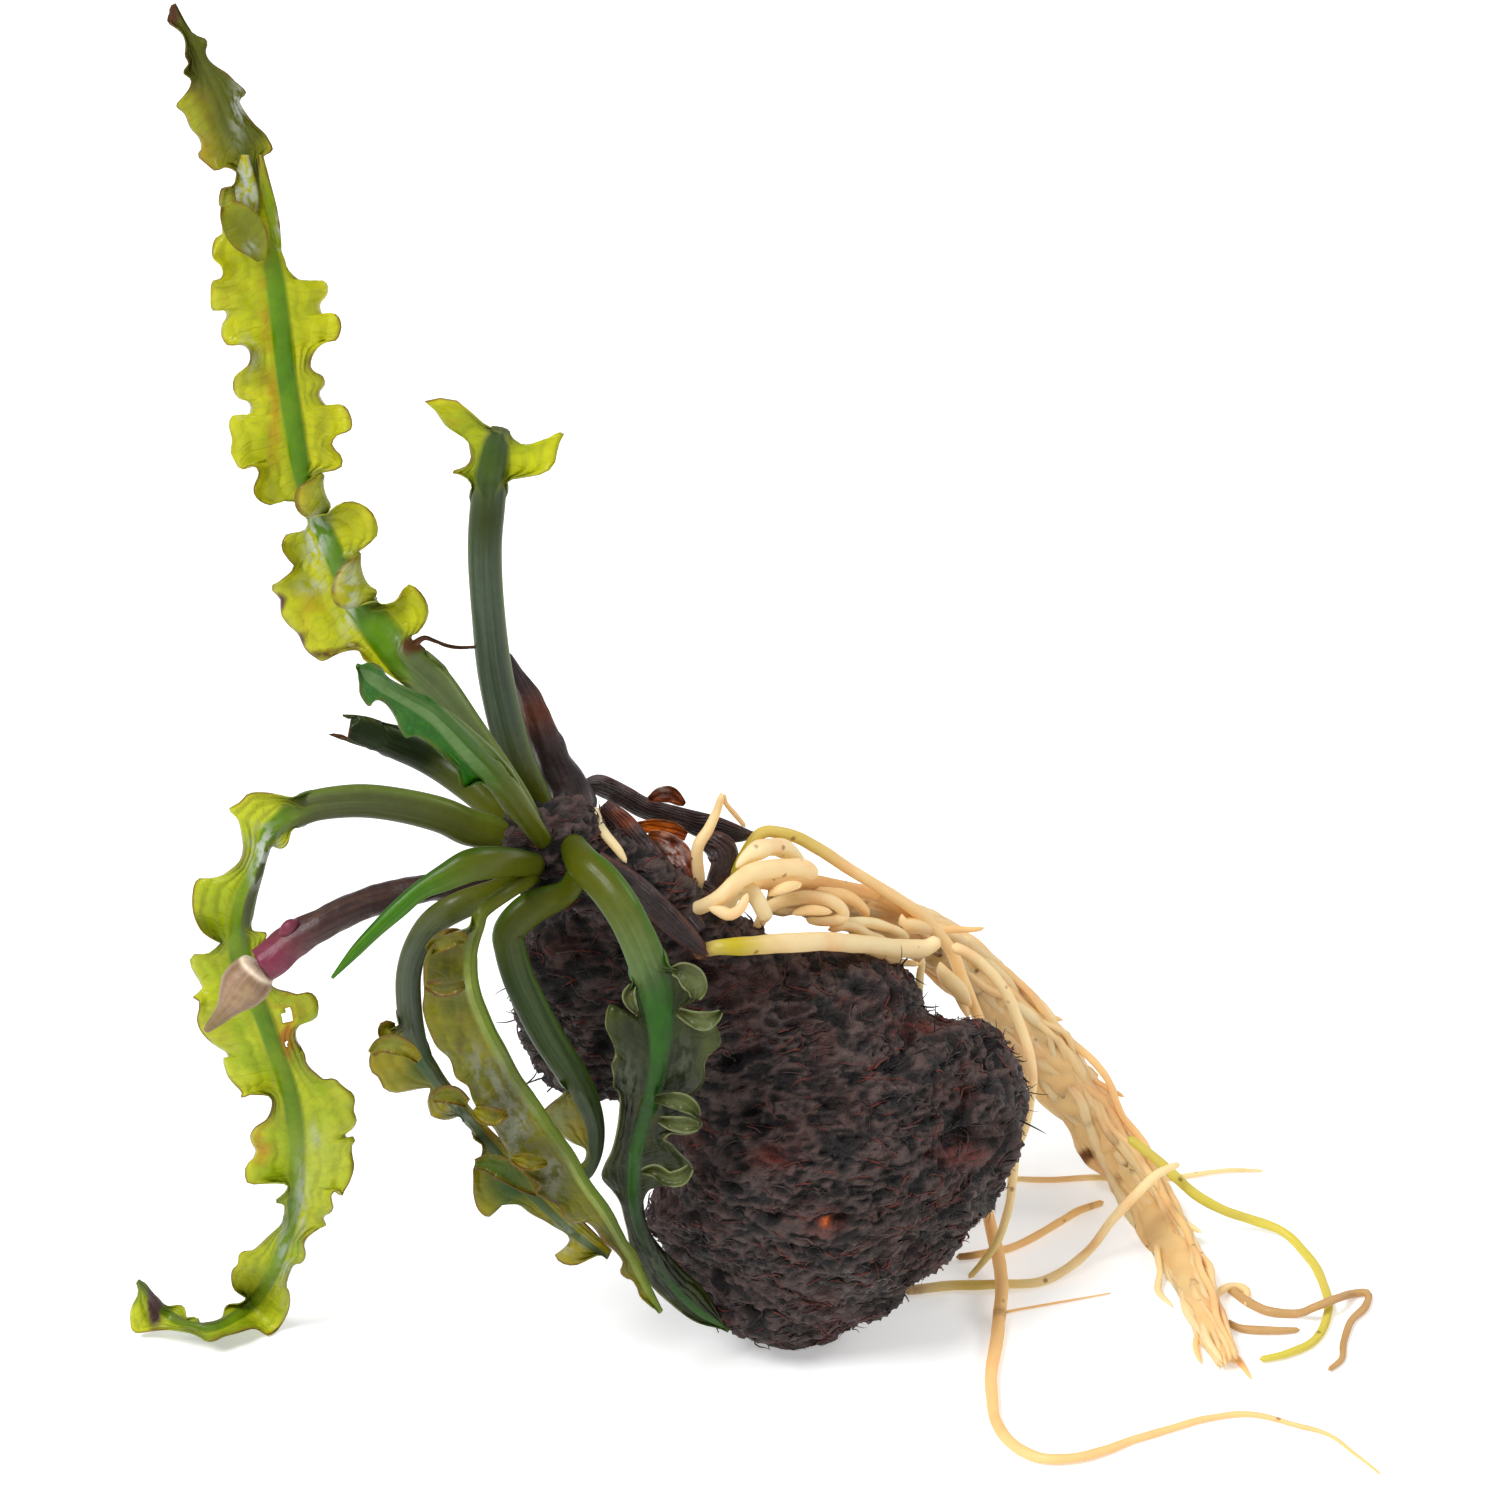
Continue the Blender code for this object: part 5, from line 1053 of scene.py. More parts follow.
roots = {
    "frontRoot": ("front_root", [
        (-13, 46.5, -8, 0.75), (-10.5, 47.2, -11, 0.95), (-6.5, 47.5, -10, 1.1), (-1.5, 47.9, -6, 1.15),
        (3, 48.1, -1, 1.15), (8, 47.8, 4, 1.15), (12, 47.2, 9, 1.15), (15.5, 47.2, 12, 1.1),
        (17.5, 48.4, 13, 0.8)],
        {"patches": [("green", -8.5, 47.2, 4, 1.0), ("brown", -12, 46.8, 1.6, 0.8)], "tint": 0.15}),
    "curledRoot": ("curled_root", [
        (-14.5, 51.5, -2, 0.7), (-12, 52.6, -6, 0.9), (-10, 53.6, -7, 1.0), (-8, 55.4, -6, 1.05),
        (-6, 56.6, -4, 1.1), (-3, 57.2, -1, 1.2), (0.5, 57.2, 2, 1.1), (1.8, 56.4, 3.5, 0.8)],
        {"tint": 0.3}),
    "hookedRoot": ("hooked_root", [
        (-9.5, 51.5, 0, 0.8), (-8.5, 54.2, -1.5, 1.0), (-6.8, 55.0, -3, 1.0), (-5.4, 53.4, -4, 1.0),
        (-4.7, 52, -4.3, 0.95), (-4.1, 50.6, -4.5, 0.8)],
        {"tint": 0.1, "patches": [("brown", -4, 50.4, 1.2, 0.5)]}),
    "peakedRoot": ("peaked_root", [
        (-12.4, 52, 2.5, 0.75), (-12.5, 55.5, 1, 0.7), (-12.8, 59.5, 1, 0.7), (-11.5, 62, 2, 0.65),
        (-10.4, 64.5, 3, 0.55), (-9.7, 66.5, 3, 0.35), (-9.2, 65.3, 3.6, 0.32), (-8, 63.8, 4.4, 0.32),
        (-6.8, 62.4, 5, 0.3)],
        {"tint": 0.45, "patches": [("brown", -12.2, 53.8, 1.8, 0.55), ("brown", -12, 52, 1.6, 0.8)]}),
    "crownRoot": ("crown_root", [
        (-24, 60, -3.5, 0.3), (-25.4, 64.4, -3, 0.35), (-25.1, 62.8, -5, 0.45), (-24.3, 61.3, -6, 0.6),
        (-22.6, 59.3, -7.5, 0.55), (-21.6, 57.8, -8.5, 0.2)],
        {"tint": 0.3}),
    "overRoot": ("over_root", [
        (-10.5, 52.8, 5, 0.6), (-9, 55.5, 4.5, 0.65), (-7.6, 57.9, 5, 0.7), (-5.8, 60.8, 6, 0.75),
        (-4.4, 61.8, 6.7, 0.75), (-2.5, 61.6, 7.4, 0.75), (0, 61, 8.5, 0.78), (2.5, 59.6, 9.6, 0.75),
        (5, 57.9, 11, 0.72), (7.5, 56.3, 12.4, 0.72), (10, 54.8, 14, 0.75), (12.5, 53.3, 15.5, 0.78),
        (15, 51.4, 17, 0.8), (17, 49.4, 17.8, 0.8), (18.8, 47, 18.4, 0.8), (20, 44, 18.5, 0.8),
        (21.2, 41, 18.3, 0.75), (22.6, 38, 17.8, 0.6)],
        {"tint": 0.7, "patches": [("green", -8, 58, 4.5, 0.95), ("green", -1, 61, 6, 0.65)]}),
    "shoulderRoot": ("shoulder_root", [
        (-8, 53.5, 3, 0.6), (-5.5, 55.2, 6, 0.8), (-3, 55.4, 8.5, 0.85), (1, 55.6, 10.5, 0.85),
        (4, 55.2, 12, 0.85), (7, 54.5, 14, 0.85), (9.8, 53.9, 16, 0.9), (12.5, 52.6, 18, 0.85),
        (15.5, 50, 19.5, 0.75)],
        {"tint": 1.0, "patches": [("brown", 9.8, 54, 0.8, 0.4), ("brown", -3.6, 53.8, 1.6, 0.3)]}),
    "loopedRoot": ("looped_root", [
        (-5.5, 49.5, 2.5, 0.6), (-3.8, 52.2, 2.5, 0.75), (-1.5, 53.2, 2.5, 0.8), (1, 53.6, 2.8, 0.8),
        (3.5, 53.2, 3.5, 0.75), (5, 52.3, 4.3, 0.75), (5.4, 51.2, 4.3, 0.75), (4.4, 50.6, 3.5, 0.65),
        (2.5, 50.5, 2.6, 0.55), (0.8, 50.8, 2, 0.35)],
        {"tint": 0.35, "patches": [("brown", 5.6, 51.6, 0.9, 0.35)]}),
    "sideRoot": ("side_root", [
        (19, 47.5, 12, 0.7), (22.5, 45.5, 13, 0.7), (25.5, 42, 13.5, 0.7), (27.8, 37, 13.5, 0.65),
        (29, 32, 13, 0.6), (28.8, 28, 13, 0.6), (28.2, 25, 13, 0.6), (27, 22, 12.6, 0.6),
        (26.5, 18, 11.5, 0.6), (25.8, 14, 10, 0.55), (24.4, 9.8, 8, 0.5), (21, 6, 6.5, 0.35)],
        {"tint": 0.25, "patches": [("green", 23, 8, 5, 0.5)]}),
    "longRoot": ("long_root", [
        (23, 16.5, 19, 0.6), (23.8, 12.5, 15.5, 0.8), (24.8, 8.5, 11.5, 0.85), low(25.1, 5, 3.0, 0.85),
        low(25, 2.2, 1.7, 0.85), low(24.6, -1.2, 1.0, 0.85), low(24, -5, 1.0, 0.8),
        low(24, -8.5, 0.9, 0.75), low(24.6, -12, 0.9, 0.7), low(26.5, -14.7, 0.8, 0.7),
        low(30, -16.5, 0.8, 0.65), low(34, -16.5, 0.8, 0.6), low(38.5, -15.5, 0.7, 0.55),
        low(42, -14, 0.6, 0.5), low(47, -12.5, 0.6, 0.45), low(51, -11.5, 0.5, 0.4),
        low(56, -11, 0.5, 0.35), low(62, -12.4, 0.4, 0.3), low(67, -14.2, 0.35, 0.25),
        low(72.5, -18.6, 0.3, 0.15)],
        {"tint": 0.95, "patches": [("brown", 24.9, 1.4, 1.0, 0.5)]}),
    "floorRoot1": ("floor_root_1", [
        low(19.5, 8.6, 0.6, 0.45), low(22.5, 9, 0.6, 0.5), low(26, 9.6, 0.6, 0.5), low(29.5, 11.2, 0.6, 0.5),
        low(32.5, 13, 0.6, 0.5), low(35, 14.5, 0.6, 0.5), low(38, 15.6, 0.6, 0.4)],
        {"tint": 0.9, "patches": [("brown", 20.5, 8.6, 2.6, 0.6), ("brown", 36.2, 15.2, 0.5, 0.6)]}),
    "floorRoot2": ("floor_root_2", [
        low(13, 4.4, 0.7, 0.6), low(19, 5.1, 0.7, 0.65), low(23, 5.1, 0.7, 0.6), low(28, 5.2, 0.7, 0.6),
        low(31, 5.9, 0.8, 0.6), low(34, 7.6, 1.8, 0.6), (36.5, 10, 13.5, 0.6), (39, 13.3, 13.5, 0.6),
        (42, 16.6, 15, 0.65), (44.5, 19, 17, 0.6), (47.5, 20.3, 20.5, 0.35)],
        {"tint": 0.15, "patches": [("brown", 14, 4.4, 4, 0.5), ("green", 22, 5, 6, 0.6)]}),
    "floorRoot3": ("floor_root_3", [
        low(26.5, 18.4, 0.5, 0.35), low(31, 18.3, 0.5, 0.4), low(36, 18.6, 0.5, 0.4), low(41, 18.4, 0.5, 0.4),
        low(47, 18.6, 0.5, 0.35), low(53, 19.4, 0.5, 0.3), low(58, 19.5, 0.4, 0.2)],
        {"tint": 0.3}),
    "fineRoot": ("fine_root", [
        low(24.8, 1.5, 0.3, 0.2), low(27, 2.0, 0.3, 0.16), low(33, 3.1, 0.3, 0.14), low(39, 4.2, 0.3, 0.09)],
        {"tint": 1.0, "patches": [("brown", 25, 1.4, 1.4, 0.6)], "sway": 0.05}),
}
print("roots laid out")


def placeRoot(name, finish, node, rows, look, seed):
    look = {"seed": seed, "sides": 14, "step": 0.4, **look}
    return skinMesh(name, [growRod(rows, look)], finish, [node])


for number, (name, (node, rows, look)) in enumerate(roots.items()):
    placeRoot(name, creamRoot, node, rows, look, number + 1.0)
placeRoot("greenRoot", greenRoot, "green_root", [
    (41, 23.6, 25.5, 0.55), (44, 21.2, 23.5, 0.65), (46.5, 18.9, 22, 0.65), (49.5, 16.4, 20.5, 0.65),
    (52.8, 14.6, 20, 0.65), (56.5, 13.2, 20.5, 0.65), low(60.5, 11.8, 1.4, 0.6), low(63, 9.4, 0.8, 0.6),
    low(65, 6.3, 0.7, 0.6), low(66, 2, 0.7, 0.55), low(64.5, -1.5, 0.7, 0.55), low(61, -3.5, 0.6, 0.5),
    low(57.5, -4.2, 0.6, 0.4)], {"tint": 0.5}, 21.0)
placeRoot("tanRoot1", tanRoot, "tan_root_1", [
    low(53.5, 4.9, 0.6, 0.55), low(56, 3, 0.6, 0.6), low(58.5, 1.8, 0.6, 0.6), low(62, 1.6, 0.7, 0.55),
    low(64.3, 2.4, 2.6, 0.55), low(67, 3.4, 2.6, 0.55), low(69, 3.9, 0.7, 0.5), low(71, 4, 0.6, 0.5),
    low(70.6, 2.4, 0.6, 0.5), low(69, 0.6, 0.6, 0.5), low(67.9, -2, 0.6, 0.45), low(67.7, -4.2, 0.5, 0.4),
    low(66, -5.6, 0.5, 0.3)], {"tint": 0.5}, 22.0)
placeRoot("tanRoot2", tanRoot, "tan_root_2", [
    low(53.2, 0.6, 0.5, 0.4), low(55.5, -0.3, 0.6, 0.5), low(59.5, -0.6, 0.6, 0.5),
    low(62.5, -0.4, 0.5, 0.3)], {"tint": 0.4}, 23.0)

# Root bundle: many strands wander along one route
bundle = {
    "route": [
        (-4, 54, 8, 1.6), (3, 53, 15, 2.6), (9, 51.3, 20, 3.4), (14, 49.3, 24, 3.6), (18, 47, 26, 3.6),
        (21.5, 44.2, 27, 3.6), (25, 40.5, 28.5, 3.8), (29, 36.2, 30, 4.0), (32.3, 32, 31.5, 4.0),
        (35, 28, 32, 3.9), (37.6, 24.2, 31.5, 3.6), (39.8, 21, 30, 3.4), (42, 17.6, 27.5, 3.2),
        (44, 14.2, 23.5, 3.1), (46.2, 10.8, 18, 3.0), (48.2, 7.2, 10.5, 2.6), low(50, 3.4, 2.4, 2.3),
        low(51.4, 0.2, 2.1, 2.2), low(53.4, -4.6, 1.2, 1.5)],
    "strands": 62,
    # short roots that leave the tuber's shoulder and run into the bundle, and wisps beside it
    "fan": [
        [(-8, 57.3, -3, 0.8), (-5, 59.4, 0, 1.2), (-2, 59.5, 3, 1.1), (0.5, 58, 5, 0.8)],
        [(-11.5, 52.3, -8, 0.5), (-10, 51.8, -9, 0.8), (-8.8, 51.4, -9.5, 0.8), (-7.6, 52, -9, 0.75),
         (-7, 53, -8.5, 0.7), (-6.7, 54, -8, 0.5)],
        [(-4, 53.8, -3, 0.6), (-2, 55, -2, 0.7), (0, 55.4, 0, 0.6)],
        [(-1, 51.5, -1, 0.5), (1, 52, 0, 0.6), (4, 51.8, 2, 0.5)],
        [(2, 54.5, 5, 0.7), (6, 53.7, 9, 0.75), (8, 52.3, 11, 0.7), (8.5, 51.2, 12, 0.5)],
        [(5, 50.8, 6, 0.5), (8, 50.5, 9, 0.65), (11, 50, 12, 0.65), (14, 48.4, 15, 0.5)],
        [(3.5, 49.5, 3, 0.5), (6, 50, 5, 0.65), (8, 49.2, 8, 0.65), (11, 48.2, 11, 0.5)],
        [(12.7, 51.5, 15, 0.6), (13.2, 50.3, 15, 0.9), (15.5, 49.8, 17, 0.9), (17.5, 49, 19, 0.5)],
        [(7, 47, 6, 0.4), (10, 46.2, 9, 0.5), (12, 45.5, 11, 0.5), (15, 45, 13.5, 0.4)],
        [(16, 49, 19, 0.4), (19, 49.3, 22, 0.5), (23, 49.8, 25, 0.25)],
        [(15.5, 46, 14, 0.5), (15, 43, 12.5, 0.55), (14.7, 41, 11.5, 0.5), (15, 39.5, 11, 0.35)],
        [(17.5, 45.5, 17, 0.8), (18, 43.5, 16, 1.2), (20, 41.5, 16.5, 1.1), (21.5, 40, 17, 0.7)],
        [(18.5, 44, 18, 0.4), (20, 41, 17, 0.5), (21, 38.5, 16, 0.35)],
        [(26, 42, 29, 0.5), (30, 39.2, 30, 0.55), (33, 38.4, 31, 0.3)],
        [(33, 33, 31, 0.5), (37, 30.6, 31.5, 0.5), (40.5, 28.6, 32, 0.25)],
        [(43, 14, 22, 0.5), (47, 13.2, 20, 0.5), (50.5, 11.4, 16, 0.25)],
        [(44.5, 10.5, 17, 0.45), (45, 7, 10, 0.45), low(44.6, 4.4, 0.7, 0.4), low(46.5, 2.4, 0.5, 0.25)],
        [low(51, 3, 1.6, 0.5), low(53.4, 5, 1.2, 0.55), low(55.6, 4.6, 0.8, 0.5), low(55.4, 2.6, 0.6, 0.3)],
        [low(50.5, 0.5, 1.0, 0.5), low(49.4, -2.2, 0.6, 0.45), low(50.2, -4.6, 0.5, 0.25)],
        [low(52.5, -2.5, 0.9, 0.5), low(55, -4.4, 0.6, 0.45), low(56.6, -6.6, 0.5, 0.2)],
    ],
    "stains": [
        ("brown", 33, 29, 1.6, 0.55), ("brown", 35.8, 25.2, 0.8, 0.7), ("brown", 36.4, 21.5, 1.2, 0.9),
        ("brown", 39.3, 23.5, 0.7, 0.7), ("brown", 38.6, 24.9, 0.5, 0.7), ("brown", 40.8, 19.6, 1.3, 0.75),
        ("brown", 42.7, 16.3, 0.6, 0.7), ("brown", 46.2, 10.2, 1.8, 0.6), ("brown", 48.4, 5.2, 1.8, 0.6),
        ("brown", 50.3, 2.6, 0.6, 0.7), ("brown", 22.4, 42.2, 0.7, 0.7), ("brown", 17.3, 46.8, 0.8, 0.9),
        ("brown", 15, 45.8, 0.5, 0.8)],
}


def growBundle():
    route = curveThrough(bundle["route"], 1.0)
    far = walked(route[:, :2])
    # painted light: a warm core inside the bundle, so the gaps between strands show warm colour in place of their shade
    core = route[:, :4] * np.array([1, 1, 1, 0.78])
    skins = [growRod(core[4:-3].tolist(), {"seed": 99.0, "sides": 20, "rough": 0.3, "lumps": 0.1, "tint": 1.0})]
    for strand in range(bundle["strands"]):
        start = random.choice((0, 0, 0, random.uniform(0, 0.3))) * far[-1]
        stop = far[-1] * random.choice((1, 1, random.uniform(0.75, 1), random.uniform(0.5, 0.9)))
        chosen = (far >= start) & (far <= stop)
        rows = route[chosen]
        if len(rows) < 8:
            continue
        walk = far[chosen]
        angle = random.uniform(0, 2 * math.pi) + 1.6 * ripple(walk * 0.03, strand + 31)
        stray = random.choice((0, 0, 0, random.uniform(0.2, 0.75))) * smoothStep(walk, far[-1] * 0.2, far[-1])
        away = math.sqrt(random.uniform(0.02, 1)) * (0.9 + 0.3 * ripple(walk * 0.06, strand + 71)) + stray
        girth = random.uniform(0.42, 0.78)
        room = np.maximum(rows[:, 3] - girth, 0.1)
        heading = unit(np.gradient(rows[:, :2], axis=0))
        aside = np.stack([heading[:, 1], -heading[:, 0]], axis=1)
        offset = np.cos(angle) * away * room
        strandRows = np.column_stack([
            rows[:, :2] + aside * offset[:, None],
            rows[:, 2] + np.sin(angle) * away * room * 0.9,
            np.full(len(rows), girth) * (0.75 + 0.25 * np.minimum(1, (walk[-1] - walk) / 20)),
        ])
        skins.append(growRod(strandRows.tolist(), {
            "seed": strand + 101.0, "sides": 8, "step": 0.8, "sway": 0.6, "lumps": 0.2, "lumpRate": 0.5,
            "tint": random.uniform(0, 1), "patches": bundle["stains"]}))
    for number, rows in enumerate(bundle["fan"]):
        skins.append(growRod(rows, {"seed": number + 201.0, "sides": 12, "lumps": 0.16, "tint": 0.25 * (number % 5),
                                    "blunt": 3.5, "sway": 0.3, "patches": bundle["stains"]}))
    return skinMesh("rootBundle", skins, creamRoot, ["root_bundle"])


growBundle()


# Flower stalk and bud

def stemFinish(name, look):
    material, tree, shader = freshMaterial(name)
    place = placeOf(tree)
    along, around, green, brown, tint = [markOf(tree, key) for key in rodMarks]
    lines = noiseOf(tree, vectorOf(tree, sumOf(tree, "MULTIPLY", around, 14),
                                   sumOf(tree, "MULTIPLY", along, 0.06)), 1.0, 3)
    fine = noiseOf(tree, place, 1100, 4)
    colour = blendOf(tree, rampOf(tree, lines, 0.38, 0.62), look["base"], look["second"])
    colour = blendOf(tree, rampOf(tree, noiseOf(tree, place, 260, 3), 0.5, 0.75), colour, look["patch"])
    colour = blendOf(tree, green, colour, look["green"])
    colour = blendOf(tree, brown, colour, look["brown"])
    mottle = sumOf(tree, "ADD", 0.7, sumOf(tree, "MULTIPLY", fine, 0.6))
    colour = blendOf(tree, 1.0, colour, vectorOf(tree, mottle, mottle, mottle), "MULTIPLY")
    feed(tree, shader.inputs["Base Color"], colour)
    shader.inputs["Roughness"].default_value = look["roughness"]
    shader.inputs["Specular IOR Level"].default_value = look["shine"]
    height = sumOf(tree, "ADD", lines, sumOf(tree, "MULTIPLY", fine, 0.8))
    feed(tree, shader.inputs["Normal"], bumpOf(tree, height, 0.6, 0.0003))
    return material


flowerSkin = stemFinish("flowerSkin", {
    "base": (48, 30, 28), "second": (66, 44, 38), "patch": (84, 62, 48), "green": (116, 38, 62),
    "brown": (200, 180, 176), "roughness": 0.42, "shine": 0.35})
budSkin = stemFinish("budSkin", {
    "base": (150, 120, 96), "second": (128, 100, 72), "patch": (158, 132, 96), "green": (118, 100, 60),
    "brown": (226, 206, 180), "roughness": 0.45, "shine": 0.35})
skinMesh("flowerStalk", [growRod([
    (-33.5, 58.5, -8, 1.2), (-39, 56.4, -10, 1.3), (-43, 55, -12.5, 1.5), (-47, 54.7, -14.6, 1.6),
    (-50, 54.1, -16.5, 1.7), (-55, 52.6, -19.5, 1.8), (-60, 50.1, -22, 1.9), (-62, 49.1, -22.5, 2.0),
    (-64, 47.7, -23, 2.1), (-66, 46, -23.7, 2.2), (-67.5, 44.9, -24.2, 2.12)],
    {"sides": 20, "step": 0.35, "lumps": 0.04, "sway": 0.05, "blunt": 0.1, "rough": 0.12,
     "patches": [("green", -66, 46, 4.4, 0.95)]}),
    growRod([(-62.6, 50.4, -23, 0.3), (-63.6, 50.1, -23.4, 0.75), (-64.4, 49.2, -23.6, 0.7), (-64.8, 48.4, -23.4, 0.3)],
            {"sides": 12, "step": 0.3, "patches": [("green", -64, 49, 4, 0.9)]})], flowerSkin, ["flower_stalk"])
skinMesh("flowerBud", [growRod([
    (-67.6, 44.9, -24.3, 2.1), (-68.4, 43.9, -24.5, 2.55), (-69.2, 42.9, -24.8, 2.8),
    (-69.9, 41.9, -25.1, 2.6), (-70.6, 41, -25.4, 2.15), (-71.3, 40.1, -25.6, 1.55), (-72, 39.3, -25.8, 1.1),
    (-72.9, 38.3, -26, 0.85), (-73.7, 37.5, -26.3, 0.6), (-74.4, 36.8, -26.5, 0.3)],
    {"sides": 24, "step": 0.2, "lumps": 0.02, "sway": 0.0, "blunt": 0.1, "rough": 0.08,
     "patches": [("brown", -67.8, 44.7, 0.4, 1.0), ("green", -73.5, 38, 3, 0.8)]})],
    budSkin, ["flower_bud"])

# Remains of old leaves
deadSkin = stemFinish("deadSkin", {
    "base": (36, 27, 28), "second": (60, 46, 46), "patch": (78, 60, 60), "green": (132, 62, 24),
    "brown": (196, 110, 40), "roughness": 0.42, "shine": 0.35})
skinMesh("oldLeafStalk", [growRod([
    (-26, 59.5, -1.5, 2.0), (-27.6, 61.5, 1, 2.3), (-28.3, 64.5, 3.5, 2.55), (-28.9, 67, 5, 2.45),
    (-30.3, 70, 5.8, 2.2), (-31.7, 73, 6.5, 2.05), (-33, 76, 7.3, 1.75), (-34.2, 79, 8, 1.35),
    (-35.4, 81.8, 8.6, 0.75), (-36.4, 84.3, 9, 0.15)],
    {"sides": 24, "step": 0.35, "lumps": 0.05, "sway": 0.15, "rough": 0.4, "roughRate": 0.3, "deep": 0.7,
     "patches": [("green", -33.6, 76.5, 2.6, 0.5)]})], deadSkin, ["old_leaf_stalk"])

deadLook = leafLook(
    blade=(40, 30, 31), blade2=(66, 52, 52), outer=(52, 39, 39), deep=(18, 13, 13), vein=(18, 13, 13),
    veinAmount=0.8, lanes=6.0, glow=(140, 64, 24), margin=(28, 19, 18), gleam=(120, 112, 112), brown=(24, 16, 14),
    foldTone=(24, 18, 18), roughness=0.42, shine=0.35, through=0.05)
redLook = {**deadLook, "blade": (116, 46, 26), "blade2": (78, 32, 22), "outer": (92, 40, 26),
           "vein": (50, 22, 16), "glow": (214, 112, 24), "gleam": (206, 190, 180), "roughness": 0.26}
oldStraps = {
    "rib": [(-26.6, 67.4, 6.2, 0.9), (-25, 67.6, 6.8, 1.3), (-22, 66.2, 7.6, 1.3), (-19.3, 64.7, 8.2, 1.3),
            (-15, 63.5, 8.8, 1.3), (-11, 62.2, 9, 1.6), (-7.6, 61.5, 9, 1.0), (-5.8, 61.5, 9, 0.25)],
    "curl": -0.9, "share": 0.8, "crimp": 0.6, "patches": [("gleam", -25, 68, 3, 2, 0.4)],
    "flaps": [
        ([(-24.8, 65, 1.5, 1.0), (-22.8, 62.8, 1, 1.9), (-20.5, 59.9, 0, 2.05), (-18, 57, -1.5, 2.05),
          (-15.8, 54, -3.5, 1.9), (-13.8, 51.4, -5.5, 1.4), (-12.3, 49.4, -7, 0.6)], -0.9,
         {"share": 0.8, "crimp": 0.5, "patches": [("glow", -21.6, 63.6, 2.4, 1.6, 0.9)]}),
        ([(-12.6, 61, 6, 0.8), (-10.2, 59.9, 5.4, 1.9), (-9.5, 57.8, 4.6, 1.7), (-10.6, 55.6, 3.6, 1.1),
          (-11.8, 53.8, 2.4, 0.5)], -1.0, {"share": 0.6, "crimp": 0.9, "patches": [("glow", -9, 55.6, 1.4, 1.6, 0.5)]}),
        ([(-25.4, 58.6, -8.5, 0.9), (-21, 55.2, -10, 1.5), (-17, 51.4, -11, 1.6), (-13.6, 48.2, -11.4, 1.2),
          (-11.6, 46.4, -11.4, 0.4)], -0.9, {"share": 0.8, "crimp": 0.5}),
        ([(-14.4, 55.4, 0, 0.6), (-12.6, 54.6, 0.6, 1.3), (-11, 53.6, 0.4, 1.1), (-9.8, 52.8, 0, 0.5)], -0.8,
         {"share": 0.6, "crimp": 0.8, "patches": [("glow", -12, 54, 2, 1.4, 0.4)]}),
        ([(-27, 61.5, 1, 1.6), (-25.6, 60.4, 0.5, 1.8), (-24, 58.8, -2, 1.4), (-22.8, 57, -4, 0.6)], -1.2,
         {"share": 0.7, "crimp": 0.8}),
    ],
}
redScales = {
    "rib": [(-20.7, 62.5, 3.6, 0.4), (-18.4, 62.4, 4, 0.9), (-16, 61.9, 4, 1.1), (-14.2, 61.2, 3.8, 0.5)],
    "curl": 0.5, "crimp": 0.5, "patches": [("glow", -18, 62.3, 4, 2, 1.3)],
    "flaps": [
        ([(-19, 61.4, 3, 0.6), (-17.2, 60.4, 3, 1.5), (-15.4, 58.8, 2.4, 1.8), (-14.2, 57.2, 1.2, 1.1),
          (-13.4, 55.6, 0.6, 0.4)], 0.6, {"crimp": 0.9, "patches": [("gleam", -16, 59.4, 2, 2.6, 0.7),
                                                                     ("glow", -17.6, 61.4, 2, 1, 0.6)]}),
        ([(-18.9, 65.8, 7.4, 0.3), (-17.5, 66.4, 7.6, 0.9), (-16.2, 66.4, 7.6, 1.0), (-15, 65.6, 7.5, 0.6),
          (-14.4, 65.2, 7.4, 0.2)], 0.7, {"crimp": 0.7, "patches": [("gleam", -17.1, 67.4, 0.9, 0.8, 1.0)]}),
    ],
}
growLeaf("oldLeafBase", "old_leaf_base", leafFinish("deadStraps", deadLook), oldStraps)
growLeaf("oldScale", "old_scale", leafFinish("redScales", redLook), redScales)

# Tuber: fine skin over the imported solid, fibres on it
tuberLook = {
    "voxel": 0.5,
    "outlineMiddle": (5, 24),
    "outline": [
        (-19.4, 13.2), (-16, 8), (-12.5, 3.2), (-7, -0.8), (-1.2, -2.4), (4, -1.2), (10, 1.8), (11.5, 2.5),
        (14, 5.5), (16.5, 7.5), (19, 9.5), (21, 11.5), (24, 14.5), (25.2, 17), (26, 20), (27, 23.5),
        (27.3, 25), (27.7, 27.3), (27.6, 29.4), (27.2, 31.8), (26.4, 33.4), (25.5, 34.6), (25.2, 36),
        (23.3, 37.5), (21, 38), (18, 38), (16.5, 38.4), (15, 39), (14.8, 40.2), (14.3, 42), (13.3, 44),
        (12, 45.4), (10, 46.2), (7, 46.9), (2, 47.6), (-4, 48.6), (-9, 48.2),
    ],
    "hairs": 2200,
    # tufts of loose rootlets at the edge: a window in the picture, and how many
    "tufts": [((-39, 26), (-30, 43), 26), ((22, 24), (32, 38), 22), ((8, 36), (18, 46), 14), ((-24, 5), (-14, 18), 8)],
}


